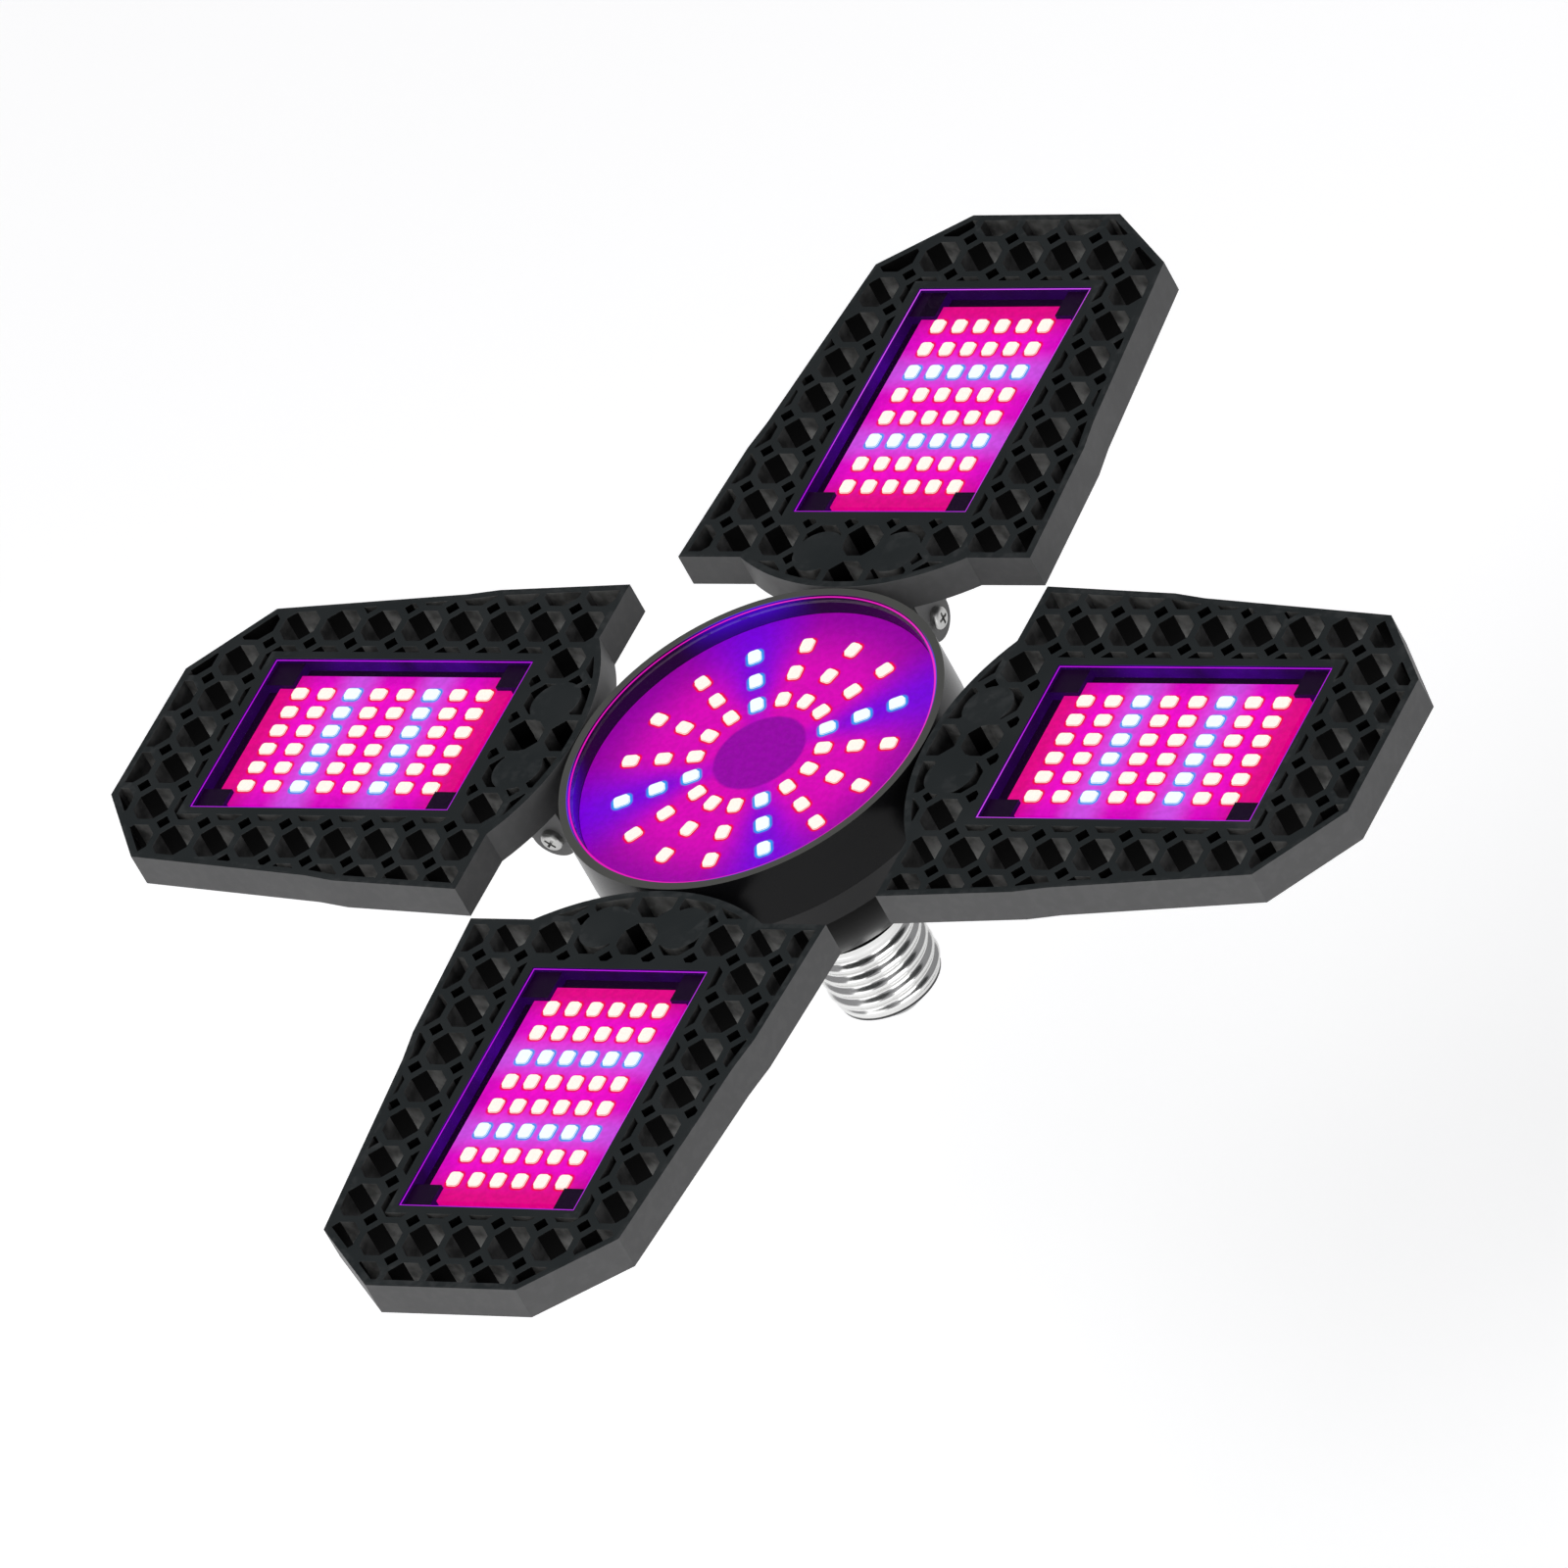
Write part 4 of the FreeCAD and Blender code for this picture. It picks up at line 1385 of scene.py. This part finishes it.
@dataclass
class Hub:
    """Hub of the lamp: base, housing, ring, driver and round lit board."""

    board: RoundBoard
    # The round pane's painted edge glow is pinker and wider.
    cover: ClearCover = ClearCover(edge=(0.80, 0.0, 0.50), edge_width=0.55 * MM)

    def build(self, finishes: dict[Finish, Material]) -> None:
        """Dress the hub's nodes and build its thread, chips and pivot screws.

        Args:
            finishes: The shared finishes.
        """
        ScrewShell().build(finishes[Finish.NICKEL])
        plain = {"shell_insulator": Finish.INSULATOR, "centre_contact": Finish.CONTACT,
                 "driver_housing": Finish.HOUSING, "housing_screws": Finish.ZINC,
                 "driver_board": Finish.DRIVER_BOARD, "transformer": Finish.WINDING,
                 "capacitors": Finish.SLEEVE, "rectifier": Finish.SLEEVE}
        for node, finish in plain.items():
            dress(node, finishes[finish])
        dress("hub_ring", GlossRing().build("gloss_ring", self.board))
        dress("centre_board", HubBoard().build("round_lit_board", self.board))
        dress("centre_cover", self.cover.build("round_cover", self.board.inward,
                                               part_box("centre_cover")[1].z))
        for light in Light:
            Chips(light.node("centre"), "hub", light, None).build(finishes)
        shape = PanScrew()
        screw = shape.build()
        for wing in Wing:
            PivotScrews(wing, shape).build(screw, finishes[Finish.ZINC])


@dataclass
class WingDress:
    """Pieces of one wing.

    Args:
        wing: Which wing it is.
        window: Its window.
    """

    wing: Wing
    window: Window
    edge: float = 0.12 * MM
    slack: float = 0.4 * MM
    under_face: float = 0.1 * MM
    deep: float = 1.0 * MM
    flatness: float = math.radians(0.5)
    at_end: float = 0.01 * MM
    square_edge: float = math.radians(60.0)
    sharp_angle: float = 12.0

    def outer_walls(self, upright: set[BMFace], back: Matrix) -> set[BMFace]:
        """Walk round the casting's outside, from its outermost wall.

        Args:
            upright: The upright faces.
            back: Turn that lays the wing along x.

        Returns:
            The outer walls.
        """
        outer, waiting = set(), [max(upright, key=lambda face: (back @ face.calc_center_median()).x)]
        while waiting:
            face = waiting.pop()
            if face in outer:
                continue
            outer.add(face)
            waiting += [other for edge in face.edges
                        if abs(edge.verts[0].co.z - edge.verts[1].co.z) > self.deep
                        for other in edge.link_faces if other in upright]
        return outer

    def sort_faces(self, mesh: BMesh) -> None:
        """Give each face of the casting its slot.

        Args:
            mesh: The casting.
        """
        back = Matrix.Rotation(-math.radians(self.wing.value), 3, "Z")
        face_height = max(vertex.co.z for vertex in mesh.verts)
        upright = {face for face in mesh.faces if abs(face.normal.z) < UPRIGHT_FACE}
        outer = self.outer_walls(upright, back)
        for face in mesh.faces:
            middle = back @ face.calc_center_median()
            sunk = middle.z < face_height - self.under_face and face.normal.z > -LEVEL_FACE
            cell_floor = face.normal.z > LEVEL_FACE and middle.z < face_height - self.deep
            # Sunk faces in the window take the recess's painted glow and shade; cell walls and floors take the
            # cells' painted light and shade.
            if sunk and self.window.holds(middle, self.slack):
                face.material_index = CastSlot.RECESS
            elif cell_floor or (face in upright and face not in outer):
                face.material_index = CastSlot.CELLS

    def casting(self, finishes: dict[Finish, Material]) -> None:
        """Lattice casting with its upper and lower edges softened.

        Args:
            finishes: The shared finishes.
        """
        node = self.wing.prefix + "_frame"
        mesh = merged_copy(node)
        bmesh.ops.dissolve_limit(mesh, angle_limit=self.flatness, verts=mesh.verts[:], edges=mesh.edges[:])
        self.sort_faces(mesh)
        heights = [vertex.co.z for vertex in mesh.verts]
        ends = (min(heights), max(heights))
        sharp = [edge for edge in mesh.edges
                 if len(edge.link_faces) == 2 and edge.calc_face_angle(0.0) > self.square_edge
                 and all(min(abs(vertex.co.z - end) for end in ends) < self.at_end for vertex in edge.verts)]
        bmesh.ops.bevel(mesh, geom=sharp, offset=self.edge, segments=1, profile=0.5, affect="EDGES",
                        clamp_overlap=True, material=CastSlot.OUTER)
        smooth_by_angle(mesh, self.sharp_angle)
        recess = Recess().build(self.wing.prefix + "_recess", self.wing, self.window)
        keep(mesh, node + "_cast", [finishes[Finish.CASTING], finishes[Finish.CELLS], recess],
             self.wing.body, node)

    def build(self, finishes: dict[Finish, Material]) -> None:
        """Build and dress the wing.

        Args:
            finishes: The shared finishes.
        """
        prefix = self.wing.prefix
        self.casting(finishes)
        dress(prefix + "_led_board", WingBoard().build(prefix + "_lit_board", self.wing, self.window))
        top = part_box(prefix + "_cover")[1].z
        dress(prefix + "_cover", ClearCover().build(
            prefix + "_clear_cover", lambda surface: self.window.inward(surface, self.wing), top))
        dress(prefix + "_bracket", finishes[Finish.BRACKET])
        dress(prefix + "_bracket_screws", finishes[Finish.ZINC])
        for light in Light:
            Chips(light.node(prefix), self.wing.body, light, self.wing.value).build(finishes)


@dataclass(frozen=True)
class Lamp:
    """Soft square lamp, its place measured from what it points at."""

    name: str
    place: tuple[float, float, float]
    size: float
    power: float

    def build(self, target: Vector) -> None:
        """Set up the lamp.

        Args:
            target: Point that it points at.
        """
        data = bpy.data.lights.new(self.name, "AREA")
        data.size = self.size
        data.energy = self.power
        made = linked(self.name, data)
        made.location = target + Vector(self.place)
        made.rotation_euler = (-Vector(self.place)).to_track_quat("-Z", "Y").to_euler()


@dataclass
class Studio:
    """Pale floor, soft lamps and the photograph's camera, which stands off the target by its reach."""

    target: Vector
    reach: Vector = Vector((2.1365, -2.1450, 2.2169))
    right: Vector = Vector((0.8231, 0.4026, -0.4004))
    up: Vector = Vector((-0.0105, 0.7158, 0.6982))
    back: Vector = Vector((0.5678, -0.5705, 0.5934))
    lens: float = 399.2
    sensor: float = 36.0
    sight: float = 50.0
    floor_height: float = -0.16
    floor_size: float = 6.0
    floor_light: float = 0.50
    lamps: tuple[Lamp, ...] = (Lamp("key", (-0.6, -1.0, 1.5), 1.4, 17.0),
                               Lamp("side", (1.5, -0.9, 0.25), 1.2, 16.0),
                               Lamp("front", (-0.3, -1.8, 0.1), 1.2, 6.0))

    def camera(self) -> None:
        """Camera at the viewing angle of the photograph."""
        data = bpy.data.cameras.new("camera")
        data.lens = self.lens
        data.sensor_width = self.sensor
        data.clip_end = self.sight
        made = linked("camera", data)
        turn = Matrix((self.right, self.up, self.back)).transposed().to_4x4()
        made.matrix_world = Matrix.Translation(self.target + self.reach) @ turn
        bpy.context.scene.camera = made

    def floor(self) -> None:
        """Pale floor that shows as white to the camera but keeps the shadow."""
        mesh = bmesh.new()
        bmesh.ops.create_grid(mesh, x_segments=1, y_segments=1, size=self.floor_size,
                              matrix=Matrix.Translation((0, 0, self.floor_height)))
        made = linked("floor", written(mesh, "floor"))
        surface = Surface("pale_floor")
        path = surface.node("ShaderNodeLightPath").outputs
        mirrored = surface.math("MAXIMUM", path["Is Glossy Ray"], path["Is Transmission Ray"])
        seen = surface.math("MAXIMUM", path["Is Camera Ray"], mirrored)
        light = surface.mix(seen, BLACK, (self.floor_light,) * 3)
        made.data.materials.append(surface.finish(Base_Color=(0.8, 0.8, 0.8, 1.0), Roughness=0.9,
                                                  Emission_Color=light, Emission_Strength=1.0))

    def world(self) -> None:
        """Even light from all round, white where the camera sees it."""
        world = bpy.data.worlds.new("studio")
        world.use_nodes = True
        graph = Graph(world.node_tree)
        seen = graph.node("ShaderNodeLightPath").outputs["Is Camera Ray"]
        graph.fill(world.node_tree.nodes["Background"],
                   Color=graph.mix(seen, (0.32, 0.32, 0.33), (1.0, 1.0, 1.0)))
        bpy.context.scene.world = world

    def build(self) -> None:
        """Set the stage."""
        self.camera()
        self.floor()
        for lamp in self.lamps:
            lamp.build(self.target)
        self.world()
        bpy.context.scene.view_settings.view_transform = "Standard"


def main() -> None:
    """Build the lamp's looks and the studio."""
    logging.basicConfig(level=logging.INFO, format="%(name)s: %(message)s")
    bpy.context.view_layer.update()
    finishes = make_finishes()
    Hub(RoundBoard.measure()).build(finishes)
    window = Window.measure()
    for wing in Wing:
        WingDress(wing, window).build(finishes)
    Studio(Vector((0.0, 0.0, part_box("hub_ring")[1].z))).build()


if __name__ == "__main__":
    main()
